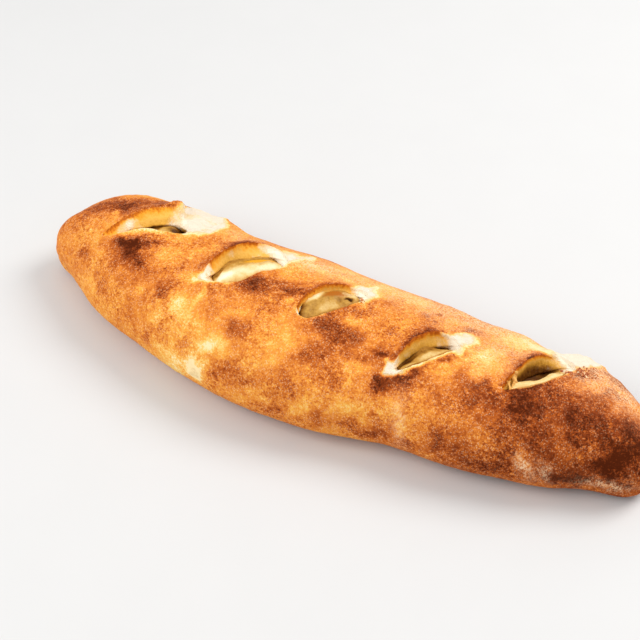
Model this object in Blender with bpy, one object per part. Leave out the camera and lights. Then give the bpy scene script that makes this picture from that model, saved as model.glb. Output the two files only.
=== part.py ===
"""A baked stromboli: a long folded roll of bread dough with five slashes in its top.

The dough crust is a hollow roll with a flat underside, and the melted cheese filling runs through
it and shows at the bottom of each slash. All sizes are in metres and all angles in degrees. The
roll lies along X, its origin is at the middle of its box's underside, and Z is up.
"""

import math
from collections import namedtuple

import bmesh
import bpy

# Driving dimensions of the roll
LENGTH = 0.375
CRUST_WALL = 0.008
CLEARANCE = 0.0003
TIP_HEIGHT = 0.012

# Each row: place along the roll (-1 and 1 are its ends), half of its width, its centre line's Y
PLAN_ROWS = (
    (-1.00, 0.0490, 0.0070),
    (-0.86, 0.0600, 0.0185),
    (-0.70, 0.0575, 0.0125),
    (-0.50, 0.0540, 0.0055),
    (-0.30, 0.0535, -0.0010),
    (-0.10, 0.0550, -0.0025),
    (0.10, 0.0525, -0.0020),
    (0.30, 0.0485, 0.0025),
    (0.50, 0.0480, 0.0025),
    (0.70, 0.0500, 0.0060),
    (0.86, 0.0500, 0.0080),
    (1.00, 0.0485, -0.0005),
)

# Each row: place along the roll, height of its top
HEIGHT_ROWS = (
    (-1.0, 0.0460),
    (-0.6, 0.0500),
    (-0.2, 0.0515),
    (0.2, 0.0500),
    (0.6, 0.0465),
    (1.0, 0.0440),
)

# How round the ends and the cross-section are: 2 is an ellipse, more is squarer
LEFT_END_POWER = 3.1
LEFT_END_ROOT = 0.62
RIGHT_END_POWER = 2.8
RIGHT_END_ROOT = 0.50
HEIGHT_END_FACTOR = 3.0
HEIGHT_END_ROOT = 0.45
TUCK_POWER = 24.0
UPPER_SECTION_POWER = 2.2
LOWER_SECTION_POWER = 2.5
WIDEST_LEVEL = 0.38
UNDERSIDE_SINK = 1.13

# Mesh fineness
CRUST_SEGMENTS = 36
CRUST_RINGS = 70
CORE_SEGMENTS = 22
CORE_RINGS = 34
SLASH_SEGMENTS = 28
BULGE_SEGMENTS = 16
BULGE_RINGS = 9
RING_CROWDING = 0.45
TOP_CROWDING = 0.30

# A slash: X and Y of its middle, its direction and half length, then for its rear and its front edge
# the greatest distance from the middle line, how far that place leans to the far end and how blunt
# the ends are, and at last the rise of the rear lip, the slope of the cut wall below it and the
# height of the melted filling that swells up in the slash
Slash = namedtuple(
    "Slash",
    "x y angle half_length rear rear_lean rear_power front front_lean front_power rise slope fill",
)
SLASHES = {
    "slash_1": Slash(
        -0.1210, 0.0058, 20.9, 0.0247, 0.0240, 0.31, 0.77, 0.0016, 0.00, 0.60, 0.0030, 1.30, 0.0056
    ),
    "slash_2": Slash(
        -0.0530, 0.0046, 47.0, 0.0251, 0.0187, 0.20, 0.56, 0.0103, -0.10, 0.52, 0.0035, 0.60, 0.0064
    ),
    "slash_3": Slash(
        0.0042, 0.0009, 48.6, 0.0207, 0.0126, 0.03, 0.62, 0.0050, -0.32, 0.58, 0.0028, 0.45, 0.0070
    ),
    "slash_4": Slash(
        0.0627, -0.0100, 48.9, 0.0200, 0.0126, 0.39, 0.87, 0.0022, -0.30, 0.74, 0.0030, 0.55, 0.0066
    ),
    "slash_5": Slash(
        0.1189, 0.0067, 49.8, 0.0215, 0.0118, 0.37, 0.81, 0.0044, -0.09, 0.74, 0.0030, 0.65, 0.0046
    ),
}
SLASH_HEADROOM = 0.012
SLASH_BITE = 0.0030

# Behind the first slash the crust is torn: where its edge starts, the edge's direction, how soft
# the step is, and the middle, half length, half width and depth of the bare dough beside it
TORN_SLASH = "slash_1"
TEAR_START = (-0.1215, 0.0440)
TEAR_ANGLE = -75.0
TEAR_SOFTNESS = 0.0015
BARE_PATCH = (-0.1020, 0.0340, 0.0190, 0.0200, 0.0020)

LIP_REACH = 0.0075
LIP_ZONE = 0.0110
FRONT_LIP_RISE = 0.0012
FRONT_LIP_REACH = 0.0050

# The filling's bulge in each slash
BULGE_ROOT = 0.0040
BULGE_FRONT_MARGIN = 0.0007
BULGE_LENGTH_SHARE = 0.74
BULGE_LEAST_WIDTH = 0.0030
GROOVE_WIDTH = 0.0016

# Low swells and dents of the crust: X, Y, radius, height
SWELLS = (
    (-0.160, 0.004, 0.020, 0.0010),
    (-0.098, 0.046, 0.015, 0.0022),
    (-0.092, -0.020, 0.020, -0.0014),
    (-0.076, 0.046, 0.010, -0.0014),
    (-0.028, -0.030, 0.026, 0.0014),
    (-0.024, 0.034, 0.018, 0.0012),
    (0.032, 0.022, 0.022, 0.0010),
    (0.030, -0.034, 0.024, -0.0012),
    (0.088, -0.022, 0.022, 0.0012),
    (0.097, 0.046, 0.015, 0.0022),
    (0.118, 0.043, 0.011, -0.0018),
    (0.138, 0.034, 0.014, 0.0016),
    (0.150, -0.010, 0.024, 0.0012),
)

# Pleats where the dough is gathered at each end
PLEAT_COUNT = 7
PLEAT_DEPTH = 0.0006
PLEAT_START = 0.86

CRUST_COLOUR = (0.52, 0.24, 0.075)
FILLING_COLOUR = (0.83, 0.72, 0.42)


def clear_scene():
    """Removes whatever the file opened with."""
    for old in list(bpy.data.objects):
        bpy.data.objects.remove(old, do_unlink=True)


def new_collection(name):
    """Adds a collection to the scene."""
    collection = bpy.data.collections.new(name)
    bpy.context.scene.collection.children.link(collection)
    return collection


def new_material(name, colour, roughness):
    """Makes a plain food finish."""
    material = bpy.data.materials.new(name)
    material.use_nodes = True
    shader = material.node_tree.nodes["Principled BSDF"]
    shader.inputs["Base Color"].default_value = (*colour, 1.0)
    shader.inputs["Roughness"].default_value = roughness
    shader.inputs["Metallic"].default_value = 0.0
    return material


def curve_through(rows, column, place):
    """Reads a smooth curve through one column of a table of rows at a place along the roll."""
    last = len(rows) - 1
    index = 0
    while index < last - 1 and place > rows[index + 1][0]:
        index += 1

    def slope(i):
        before = max(i - 1, 0)
        after = min(i + 1, last)
        return (rows[after][column] - rows[before][column]) / (rows[after][0] - rows[before][0])

    span = rows[index + 1][0] - rows[index][0]
    u = (place - rows[index][0]) / span
    start = rows[index][column]
    end = rows[index + 1][column]
    return (
        (1 + 2 * u) * (1 - u) ** 2 * start
        + u * (1 - u) ** 2 * span * slope(index)
        + u * u * (3 - 2 * u) * end
        + u * u * (u - 1) * span * slope(index + 1)
    )


def section(place):
    """Half width, centre line, underside and top of the roll at a place along it."""
    end_power = LEFT_END_POWER if place < 0 else RIGHT_END_POWER
    end_root = LEFT_END_ROOT if place < 0 else RIGHT_END_ROOT
    reach = min(abs(place), 1.0)
    half_width = curve_through(PLAN_ROWS, 1, place) * (1 - reach**end_power) ** end_root
    centre = curve_through(PLAN_ROWS, 2, place)
    fall = (1 - reach ** (HEIGHT_END_FACTOR * end_power)) ** HEIGHT_END_ROOT
    top = TIP_HEIGHT + (curve_through(HEIGHT_ROWS, 1, place) - TIP_HEIGHT) * fall
    bottom = TIP_HEIGHT * (1 - math.sqrt(1 - reach**TUCK_POWER))
    return half_width, centre, bottom, top


def signed_power(value, power):
    """Raises a value's size to a power and keeps its sign."""
    return math.copysign(abs(value) ** power, value)


def roll_point(direction, inset=0.0):
    """Maps a direction on a unit ball, whose poles are on Z, to the surface of the roll.

    An inset gives the surface that lies inside the roll by about that much.
    """
    along, across, upward = direction.z, direction.x, direction.y
    radius = math.sqrt(along**2 + across**2 + upward**2)
    latitude = math.asin(max(-1.0, min(1.0, along / radius)))
    place = (1 - RING_CROWDING) * latitude / (math.pi / 2) + RING_CROWDING * math.sin(latitude)
    turn = math.atan2(upward, across)
    turn += TOP_CROWDING * math.cos(turn)
    half_width, centre, bottom, top = section(place)
    scale = 1 - inset / (LENGTH / 2)
    half_width *= 1 - inset / max(half_width, 2 * inset, 1e-6)
    middle = bottom + WIDEST_LEVEL * (top - bottom)
    upper = (top - middle) * (1 - inset / max(top - middle, 2 * inset, 1e-6))
    lower = UNDERSIDE_SINK * (middle - bottom)
    power = UPPER_SECTION_POWER if math.sin(turn) >= 0 else LOWER_SECTION_POWER
    sideways = signed_power(math.cos(turn), 2 / power)
    lift = signed_power(math.sin(turn), 2 / power)
    height = upper if lift >= 0 else lower
    return (
        place * scale * LENGTH / 2,
        centre + half_width * sideways,
        middle + height * lift,
    )


def lens_share(fraction, lean, power):
    """How wide a slash is at a fraction of its length, as a share of its greatest width."""
    first = power + lean
    second = power - lean
    peak = first / (first + second)
    greatest = peak**first * (1 - peak) ** second
    inside = min(max(fraction, 0.0), 1.0)
    return inside**first * (1 - inside) ** second / greatest


def slash_coordinates(slash, x, y):
    """A point's place in a slash: along it as a fraction, and across it towards the rear."""
    cosine = math.cos(math.radians(slash.angle))
    sine = math.sin(math.radians(slash.angle))
    along = (x - slash.x) * cosine + (y - slash.y) * sine
    across = (y - slash.y) * cosine - (x - slash.x) * sine
    return (along / slash.half_length + 1) / 2, across


def slash_point(slash, fraction, across):
    """The reverse of slash_coordinates."""
    cosine = math.cos(math.radians(slash.angle))
    sine = math.sin(math.radians(slash.angle))
    along = (2 * fraction - 1) * slash.half_length
    return slash.x + along * cosine - across * sine, slash.y + along * sine + across * cosine


def slash_edges(slash, fraction):
    """Where the rear and the front edge of a slash are, across it, at a fraction of its length."""
    rear = slash.rear * lens_share(fraction, slash.rear_lean, slash.rear_power)
    front = -slash.front * lens_share(fraction, slash.front_lean, slash.front_power)
    return rear, front


def wall_edge(slash, fraction, height):
    """Where the rear wall of a slash is, across it, at a height over the plain roll's surface."""
    share = lens_share(fraction, slash.rear_lean, slash.rear_power)
    return slash.rear * share + slash.slope * share * (height - slash.rise)


def top_height(x, y):
    """Height of the plain roll's upper surface above a point."""
    half_width, centre, bottom, top = section(x / (LENGTH / 2))
    middle = bottom + WIDEST_LEVEL * (top - bottom)
    share = min(abs(y - centre) / half_width, 1.0)
    return middle + (top - middle) * (1 - share**UPPER_SECTION_POWER) ** (1 / UPPER_SECTION_POWER)


def smooth_step(value):
    """Goes from 0 at -1 and below to 1 at 1 and above."""
    share = min(max((value + 1) / 2, 0.0), 1.0)
    return share * share * (3 - 2 * share)


def beyond_tear(x, y):
    """How far a point lies on the bare side of the tear: 0 on the crust, 1 on the bare dough."""
    cosine = math.cos(math.radians(TEAR_ANGLE))
    sine = math.sin(math.radians(TEAR_ANGLE))
    distance = (y - TEAR_START[1]) * cosine - (x - TEAR_START[0]) * sine
    return smooth_step(distance / TEAR_SOFTNESS)


def bare_relief(x, y):
    """Depth of the bare patch of dough beside the tear."""
    middle_x, middle_y, half_length, half_width, depth = BARE_PATCH
    reach = math.hypot((x - middle_x) / half_length, (y - middle_y) / half_width)
    fade = 1 - smooth_step(4 * reach - 3)
    return -depth * fade * beyond_tear(x, y)


def lip_relief(x, y):
    """Rise of the crust beside the slashes, whose edges curled up in the oven."""
    rise = 0.0
    for name, slash in SLASHES.items():
        fraction, across = slash_coordinates(slash, x, y)
        if not -0.25 < fraction < 1.25:
            continue
        rear, front = slash_edges(slash, fraction)
        along_fade = math.sin(math.pi * (fraction + 0.25) / 1.5) ** 2
        behind = (across - rear) / LIP_REACH
        ahead = (front - across) / FRONT_LIP_REACH
        if behind > -1:
            lip = slash.rise * along_fade * math.exp(-behind * behind)
            if name == TORN_SLASH:
                lip *= 1 - beyond_tear(x, y)
            rise = max(rise, lip)
        if ahead > -1:
            rise = max(rise, FRONT_LIP_RISE * along_fade * math.exp(-ahead * ahead))
    return rise


def swell_relief(x, y):
    """Low swells and dents of the crust."""
    total = 0.0
    for middle_x, middle_y, radius, height in SWELLS:
        distance = math.hypot(x - middle_x, y - middle_y) / radius
        total += height * math.exp(-distance * distance)
    return total


def pleat_relief(point, centre):
    """Pleats of the gathered dough at the ends of the roll."""
    place = abs(point.x) / (LENGTH / 2)
    if place < PLEAT_START:
        return 0.0
    share = (place - PLEAT_START) / (1 - PLEAT_START)
    turn = math.atan2(point.z - TIP_HEIGHT, point.y - centre)
    return PLEAT_DEPTH * math.sin(math.pi * share) * math.cos(PLEAT_COUNT * turn)


def unit_ball(segments, rings):
    """A ball with its poles on Z, as the start of a closed soft form."""
    mesh = bmesh.new()
    bmesh.ops.create_uvsphere(mesh, u_segments=segments, v_segments=rings, radius=1.0)
    return mesh


def in_lip_zone(x, y):
    """Whether a point of the top is in or close beside a slash."""
    for slash in SLASHES.values():
        fraction, across = slash_coordinates(slash, x, y)
        margin = LIP_ZONE / (2 * slash.half_length)
        inside = -slash.front - LIP_ZONE < across < slash.rear + LIP_ZONE
        if inside and -margin < fraction < 1 + margin:
            return True
    return False


def refine_near_slashes(mesh):
    """Halves the edges of the ball that will lie beside the slashes."""
    chosen = []
    for edge in mesh.edges:
        middle = (edge.verts[0].co + edge.verts[1].co) / 2
        x, y, z = roll_point(middle)
        if z > WIDEST_LEVEL * HEIGHT_ROWS[0][1] and in_lip_zone(x, y):
            chosen.append(edge)
    bmesh.ops.subdivide_edges(mesh, edges=chosen, cuts=1, use_grid_fill=True)


def flatten_underside(mesh, level):
    """Cuts a closed mesh off at a level and closes it with one flat face."""
    everything = mesh.verts[:] + mesh.edges[:] + mesh.faces[:]
    cut = bmesh.ops.bisect_plane(
        mesh,
        geom=everything,
        dist=1e-6,
        plane_co=(0, 0, level),
        plane_no=(0, 0, -1),
        clear_outer=True,
    )
    rim = [item for item in cut["geom_cut"] if isinstance(item, bmesh.types.BMEdge)]
    bmesh.ops.contextual_create(mesh, geom=rim)


def finish_object(mesh, name, collection, material=None):
    """Turns a bmesh into a smooth-shaded object in a collection."""
    bmesh.ops.recalc_face_normals(mesh, faces=mesh.faces[:])
    data = bpy.data.meshes.new(name)
    mesh.to_mesh(data)
    mesh.free()
    data.shade_smooth()
    data.set_sharp_from_angle(angle=math.radians(40))
    item = bpy.data.objects.new(name, data)
    collection.objects.link(item)
    if material:
        data.materials.append(material)
    else:
        item.hide_render = True
        item.display_type = "WIRE"
    return item


def crust_body(collection, material):
    """The outer form of the crust with its curled lips, swells and pleats."""
    mesh = unit_ball(CRUST_SEGMENTS, CRUST_RINGS)
    refine_near_slashes(mesh)
    for vertex in mesh.verts:
        vertex.co = roll_point(vertex.co)
    mesh.normal_update()
    moves = []
    for vertex in mesh.verts:
        x, y, z = vertex.co
        centre = curve_through(PLAN_ROWS, 2, x / (LENGTH / 2))
        relief = pleat_relief(vertex.co, centre)
        if z > TIP_HEIGHT:
            relief += lip_relief(x, y) + swell_relief(x, y) + bare_relief(x, y)
        moves.append(vertex.normal * relief)
    for vertex, move in zip(mesh.verts, moves):
        vertex.co += move
    flatten_underside(mesh, 0.0)
    return finish_object(mesh, "crust", collection, material)


def inner_body(name, inset, collection, material=None):
    """A plain inner form of the roll, for the crust's hollow and for the filling's core."""
    mesh = unit_ball(CORE_SEGMENTS, CORE_RINGS)
    for vertex in mesh.verts:
        vertex.co = roll_point(vertex.co, inset)
    flatten_underside(mesh, inset)
    return finish_object(mesh, name, collection, material)


def slash_cutter(name, slash, collection):
    """A lens-shaped wedge that opens the crust down to the filling."""
    mesh = bmesh.new()
    bmesh.ops.create_cone(
        mesh,
        cap_ends=True,
        cap_tris=True,
        segments=SLASH_SEGMENTS,
        radius1=1.0,
        radius2=1.0,
        depth=2.0,
    )
    for vertex in mesh.verts:
        height = SLASH_HEADROOM if vertex.co.z > 0 else -CRUST_WALL - SLASH_BITE
        fraction = (1 + vertex.co.x) / 2
        rear = wall_edge(slash, fraction, height)
        front = slash_edges(slash, fraction)[1]
        girth = math.sqrt(max(1 - vertex.co.x**2, 0.0))
        if girth > 1e-3:
            share = 0.5 + 0.5 * vertex.co.y / girth
        else:
            share = 0.5
        x, y = slash_point(slash, fraction, front + share * max(rear - front, 0.0))
        vertex.co = (x, y, top_height(x, y) + height)
    return finish_object(mesh, name, collection)


def filling_bulge(name, slash, collection):
    """The melted cheese that swells up towards the front lip of a slash."""
    mesh = unit_ball(BULGE_SEGMENTS, BULGE_RINGS)
    for vertex in mesh.verts:
        along, across, upward = vertex.co.z, vertex.co.x, vertex.co.y
        fraction = (1 + BULGE_LENGTH_SHARE * along) / 2
        front = slash_edges(slash, fraction)[1] + BULGE_FRONT_MARGIN
        rear = wall_edge(slash, fraction, -CRUST_WALL - CLEARANCE) - GROOVE_WIDTH
        rear = max(rear, front + BULGE_LEAST_WIDTH)
        girth = math.sqrt(max(1 - along * along, 1e-9))
        share = across / girth if girth > 1e-3 else 0.0
        offset = (rear + front) / 2 + (rear - front) / 2 * share * girth**0.5
        x, y = slash_point(slash, fraction, offset)
        root = top_height(x, y) - CRUST_WALL - CLEARANCE
        reach = slash.fill if upward > 0 else BULGE_ROOT
        vertex.co = (x, y, root + reach * upward)
    return finish_object(mesh, name, collection)


def add_boolean(item, operation, operands):
    """Adds an exact Boolean with every object of a collection."""
    modifier = item.modifiers.new(operation.lower(), "BOOLEAN")
    modifier.operation = operation
    modifier.operand_type = "COLLECTION"
    modifier.collection = operands
    modifier.solver = "EXACT"


def build():
    """Builds the crust and the filling."""
    clear_scene()
    parts = new_collection("stromboli")
    cutters = new_collection("crust_cutters")
    bulges = new_collection("filling_bulges")
    crust_finish = new_material("baked_crust", CRUST_COLOUR, 0.62)
    filling_finish = new_material("melted_cheese", FILLING_COLOUR, 0.42)
    crust = crust_body(parts, crust_finish)
    filling = inner_body("filling", CRUST_WALL + CLEARANCE, parts, filling_finish)
    inner_body("hollow", CRUST_WALL, cutters)
    for name, slash in SLASHES.items():
        slash_cutter(name, slash, cutters)
        filling_bulge(name + "_bulge", slash, bulges)
    add_boolean(crust, "DIFFERENCE", cutters)
    add_boolean(filling, "UNION", bulges)


build()
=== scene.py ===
"""Dressed model of a baked stromboli: mottled crust, torn dough lips and melted filling.

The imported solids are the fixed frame. The crust and the filling are built again here from the
solids' own named sizes, with their fine forms, and stand for them. Lengths are in metres unless a
name or comment says otherwise, angles are in degrees, and rows of marks are in millimetres.
"""

import logging
import math
from collections.abc import Sequence
from dataclasses import dataclass, replace
from enum import Enum

import bmesh
import bpy
import numpy as np
from mathutils import Matrix, Vector


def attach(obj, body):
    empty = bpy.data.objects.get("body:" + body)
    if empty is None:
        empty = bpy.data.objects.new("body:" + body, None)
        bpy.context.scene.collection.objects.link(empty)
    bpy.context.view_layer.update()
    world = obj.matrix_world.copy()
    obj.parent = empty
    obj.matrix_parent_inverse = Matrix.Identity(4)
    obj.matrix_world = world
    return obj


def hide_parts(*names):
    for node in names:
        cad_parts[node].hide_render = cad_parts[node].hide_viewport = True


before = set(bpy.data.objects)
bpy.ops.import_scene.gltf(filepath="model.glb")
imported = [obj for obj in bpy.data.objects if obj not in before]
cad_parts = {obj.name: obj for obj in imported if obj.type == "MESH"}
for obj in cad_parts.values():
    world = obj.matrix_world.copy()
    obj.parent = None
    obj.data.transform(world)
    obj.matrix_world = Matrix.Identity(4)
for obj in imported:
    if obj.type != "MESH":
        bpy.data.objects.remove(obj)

Array = np.ndarray
Rows = Sequence[Sequence[float]]
Range = tuple[float, float]
Triple = tuple[float, float, float]
Colour = Triple
Stops = Sequence[tuple[float, Colour]]
Piece = bpy.types.Object
Items = bpy.types.bpy_prop_collection
Socket = bpy.types.NodeSocket
Material = bpy.types.Material
Settings = dict[str, object]
Inputs = dict[str | int, object]

LOG = logging.getLogger("stromboli")
MM = 0.001
BODY = "root"


# ---- Numbers over many points at once ----


def ease(value: Array, low: float, high: float) -> Array:
    """Goes smoothly from 0 at low to 1 at high; where high is below low, the curve falls."""
    share = np.clip((value - low) / (high - low), 0.0, 1.0)
    return share * share * (3 - 2 * share)


def hill(distance: Array) -> Array:
    """A rounded hill: 1 in the middle, about a third at distance 1 and nothing far out."""
    return np.exp(-(distance**2))


def signed_power(value: Array, power: Array | float) -> Array:
    """Raises the sizes of numbers to a power and keeps their signs."""
    return np.sign(value) * np.abs(value) ** power


def unit(vectors: Array) -> Array:
    """Vectors made one long."""
    return vectors / np.maximum(np.linalg.norm(vectors, axis=-1, keepdims=True), 1e-12)


def turned(u: Array, v: Array, degrees: float) -> tuple[Array, Array]:
    """Distances along and across a direction, from distances along two axes."""
    cosine, sine = math.cos(math.radians(degrees)), math.sin(math.radians(degrees))
    return u * cosine + v * sine, v * cosine - u * sine


def read_rows(rows: Rows, column: int, place: Array) -> Array:
    """Reads a smooth curve through one column of a table.

    Args:
        rows: The table; its first column is the place along the roll or the slash.
        column: Which column to read.
        place: Where to read it.

    Returns:
        The column's value at each place.
    """
    table = np.array(rows)
    stations, values = table[:, 0], table[:, column]
    slopes = np.empty(len(values))
    slopes[1:-1] = (values[2:] - values[:-2]) / (stations[2:] - stations[:-2])
    slopes[0] = (values[1] - values[0]) / (stations[1] - stations[0])
    slopes[-1] = (values[-1] - values[-2]) / (stations[-1] - stations[-2])
    index = np.clip(np.searchsorted(stations, place) - 1, 0, len(stations) - 2)
    span = stations[index + 1] - stations[index]
    u = (place - stations[index]) / span
    return (
        (1 + 2 * u) * (1 - u) ** 2 * values[index]
        + u * (1 - u) ** 2 * span * slopes[index]
        + u * u * (3 - 2 * u) * values[index + 1]
        + u * u * (u - 1) * span * slopes[index + 1]
    )


@dataclass(frozen=True)
class Unevenness:
    """Smooth, repeatable unevenness in space, from about -1 to 1."""

    wavelength: float
    seed: int = 0
    octaves: int = 1

    def at(self, points: Array) -> Array:
        """The unevenness at points.

        Args:
            points: Places, in metres, as rows of three.

        Returns:
            One number for each point.
        """
        total = np.zeros(points.shape[:-1])
        size, strength, whole = self.wavelength, 1.0, 0.0
        for octave in range(self.octaves):
            total += strength * self._layer(points / size + 11.7 * (self.seed + 3 * octave))
            whole += strength
            size, strength = size * 0.5, strength * 0.55
        return 1.6 * total / whole

    def around(self, points: Array) -> Array:
        """A smooth vector of unevenness at each point."""
        layers = [Unevenness(self.wavelength, self.seed + 7 * k + 1) for k in range(3)]
        return np.stack([layer.at(points) for layer in layers], -1)

    def _layer(self, scaled: Array) -> Array:
        """One layer of unevenness on a lattice one wide."""
        cell = np.floor(scaled).astype(np.int64)
        part = scaled - cell
        blend = part**3 * (part * (6 * part - 15) + 10)
        total = np.zeros(scaled.shape[:-1])
        for corner in np.ndindex(2, 2, 2):
            weight = np.prod(np.where(np.array(corner), blend, 1 - blend), axis=-1)
            total += weight * self._lattice(cell + np.array(corner))
        return total

    @staticmethod
    def _lattice(cell: Array) -> Array:
        """A fixed number from -1 to 1 for each corner of the lattice."""
        key = cell[..., 0] * 374761393 + cell[..., 1] * 668265263 + cell[..., 2] * 1440662683
        key = (key ^ (key >> 13)) * 1274126177
        return ((key ^ (key >> 16)) & 0xFFFF) / 32767.5 - 1.0


Layers = Sequence[tuple[float, Unevenness]]


def layered(layers: Layers, points: Array) -> Array:
    """The sum of layers of unevenness, each as strong as its number says."""
    return sum(strength * layer.at(points) for strength, layer in layers)


# ---- Forms: the roll, its slashes and its tear, with the same sizes as the solids ----


@dataclass(frozen=True)
class Roll:
    """The plain outer form of the roll.

    Rows of plan are place along the roll, half width and centre line's Y; rows of heights are place
    and height of the top. An end is its power and root. Girth is the angle round the roll: 0 at the
    rear, 90 on the crest and 180 in front.
    """

    length: float = 0.375
    tip_height: float = 0.012
    plan: Rows = (
        (-1, 0.049, 0.007), (-0.86, 0.06, 0.0185), (-0.7, 0.0575, 0.0125), (-0.5, 0.054, 0.0055),
        (-0.3, 0.0535, -0.001), (-0.1, 0.055, -0.0025), (0.1, 0.0525, -0.002), (0.3, 0.0485, 0.0025),
        (0.5, 0.048, 0.0025), (0.7, 0.05, 0.006), (0.86, 0.05, 0.008), (1, 0.0485, -0.0005),
    )
    heights: Rows = (
        (-1, 0.046), (-0.6, 0.05), (-0.2, 0.0515), (0.2, 0.05), (0.6, 0.0465), (1, 0.044),
    )
    left_end: Range = (3.1, 0.62)
    right_end: Range = (2.8, 0.50)
    height_end: Range = (3.0, 0.45)
    tuck_power: float = 24.0
    upper_power: float = 2.2
    lower_power: float = 2.5
    widest_level: float = 0.38
    underside_sink: float = 1.13

    def section(self, place: Array) -> tuple[Array, Array, Array, Array, Array]:
        """The roll's cross section at places along it.

        Args:
            place: From -1 at one end to 1 at the other.

        Returns:
            Half width, centre line, underside, the level where the roll is widest, and top.
        """
        place = np.asarray(place, float)
        power = np.where(place < 0, self.left_end[0], self.right_end[0])
        root = np.where(place < 0, self.left_end[1], self.right_end[1])
        reach = np.minimum(np.abs(place), 1.0)
        half_width = read_rows(self.plan, 1, place) * (1 - reach**power) ** root
        centre = read_rows(self.plan, 2, place)
        fall = (1 - reach ** (self.height_end[0] * power)) ** self.height_end[1]
        top = self.tip_height + (read_rows(self.heights, 1, place) - self.tip_height) * fall
        bottom = self.tip_height * (1 - np.sqrt(1 - reach**self.tuck_power))
        return half_width, centre, bottom, bottom + self.widest_level * (top - bottom), top

    def surface(self, place: Array, girth: Array, inset: float = 0.0) -> Array:
        """Points of the surface, or of one inside it by about an inset.

        Args:
            place: Places along the roll, from -1 to 1.
            girth: Angles round the roll.
            inset: Depth below the surface.

        Returns:
            Points, with the broadcast shape of place and girth.
        """
        half_width, centre, bottom, middle, top = self.section(place)
        least = max(2 * inset, 1e-6)
        half_width = half_width * (1 - inset / np.maximum(half_width, least))
        upper = (top - middle) * (1 - inset / np.maximum(top - middle, least))
        lower = self.underside_sink * (middle - bottom)
        cosine, sine = np.cos(np.radians(girth)), np.sin(np.radians(girth))
        power = np.where(sine >= 0, self.upper_power, self.lower_power)
        y = centre + half_width * signed_power(cosine, 2 / power)
        z = middle + np.where(sine >= 0, upper, lower) * signed_power(sine, 2 / power)
        x = (place * (1 - 2 * inset / self.length) * self.length / 2) + 0 * y
        return np.stack([x, y, z], -1)

    def top_height(self, x: Array, y: Array) -> Array:
        """Height of the plain upper surface above points of the plan."""
        place = np.clip(x / (self.length / 2), -0.9999, 0.9999)
        half_width, centre, _, middle, top = self.section(place)
        share = np.minimum(np.abs(y - centre) / half_width, 1.0)
        return middle + (top - middle) * (1 - share**self.upper_power) ** (1 / self.upper_power)

    def proud(self, points: Array) -> Array:
        """How far points are above the plain upper surface."""
        return points[:, 2] - self.top_height(points[:, 0], points[:, 1])

    def at(self, x_mm: float, girth: float) -> Array:
        """A point of the surface, from its X in millimetres and its girth."""
        return self.surface(np.array(x_mm * MM / (self.length / 2)), np.array(float(girth)))

    def tangents(self, x_mm: float, girth: float) -> tuple[Array, Array, Array]:
        """A point as from at, with the way to +X there and the way of growing girth."""
        round_it = unit(self.at(x_mm, girth + 0.5) - self.at(x_mm, girth - 0.5))
        return self.at(x_mm, girth), np.array([1.0, 0.0, 0.0]), round_it


@dataclass(frozen=True)
class Slash:
    """One slash in the crust: a leaning lens in plan whose rear lip has curled up.

    Fractions run from 0 at the slash's near end to 1 at its far end; across is measured from its
    middle line towards the rear, and heights from the plain roll's surface.
    """

    name: str
    x: float
    y: float
    angle: float
    half_length: float
    rear: float
    rear_lean: float
    rear_power: float
    rise: float
    profile: Rows
    sunk: bool = False
    least_wall: float = 0.0003

    @staticmethod
    def lens_share(fraction: Array, lean: float, power: float) -> Array:
        """How wide the lens is at fractions of its length, as a share of its greatest width."""
        first, second = power + lean, power - lean
        peak = first / (first + second)
        inside = np.clip(fraction, 0.0, 1.0)
        return (inside / peak) ** first * ((1 - inside) / (1 - peak)) ** second

    def coordinates(self, x: Array, y: Array) -> tuple[Array, Array]:
        """Fractions along and distances across the slash, of points of the plan."""
        along, across = turned(x - self.x, y - self.y, self.angle)
        return (along / self.half_length + 1) / 2, across

    def measure(self, points: Array) -> tuple[Array, Array, Array, Array]:
        """Fraction along, distance across, how far behind the rear lip and ahead of the front."""
        fraction, across = self.coordinates(points[:, 0], points[:, 1])
        behind = across - self.rear_edge(fraction)
        return fraction, across, behind, self.front_edge(fraction) - across

    def plan_point(self, fraction: Array, across: Array) -> tuple[Array, Array]:
        """The reverse of coordinates."""
        x, y = turned((2 * fraction - 1) * self.half_length, across, -self.angle)
        return self.x + x, self.y + y

    def row(self, fraction: Array, column: int) -> Array:
        """One column of the profile at fractions of the length, in metres."""
        return MM * read_rows(self.profile, column, np.clip(fraction, 0.0, 1.0))

    def rear_edge(self, fraction: Array) -> Array:
        """Where the edge of the curled rear lip is, across the slash."""
        return self.rear * self.lens_share(fraction, self.rear_lean, self.rear_power)

    def front_edge(self, fraction: Array) -> Array:
        """Where the edge of the front lip is, across the slash."""
        return self.row(fraction, 1)

    def foot(self, fraction: Array) -> Array:
        """Where the rear wall ends above the gap, across the slash."""
        return np.minimum(self.row(fraction, 2), self.rear_edge(fraction) - self.least_wall)

    def fade(self, fraction: Array) -> Array:
        """How much the lips have curled, along the slash and a little beyond its ends."""
        inside = np.clip((fraction + 0.25) / 1.5, 0.0, 1.0)
        return np.sin(math.pi * inside) ** 2

    def covers(self, fraction: Array, across: Array, margin: float) -> Array:
        """1 in the open slash and 0 outside it, over a soft margin."""
        inner = np.minimum(self.rear_edge(fraction) - across, across - self.front_edge(fraction))
        return ease(inner, -margin, margin) * ((fraction > 0) & (fraction < 1))


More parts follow.
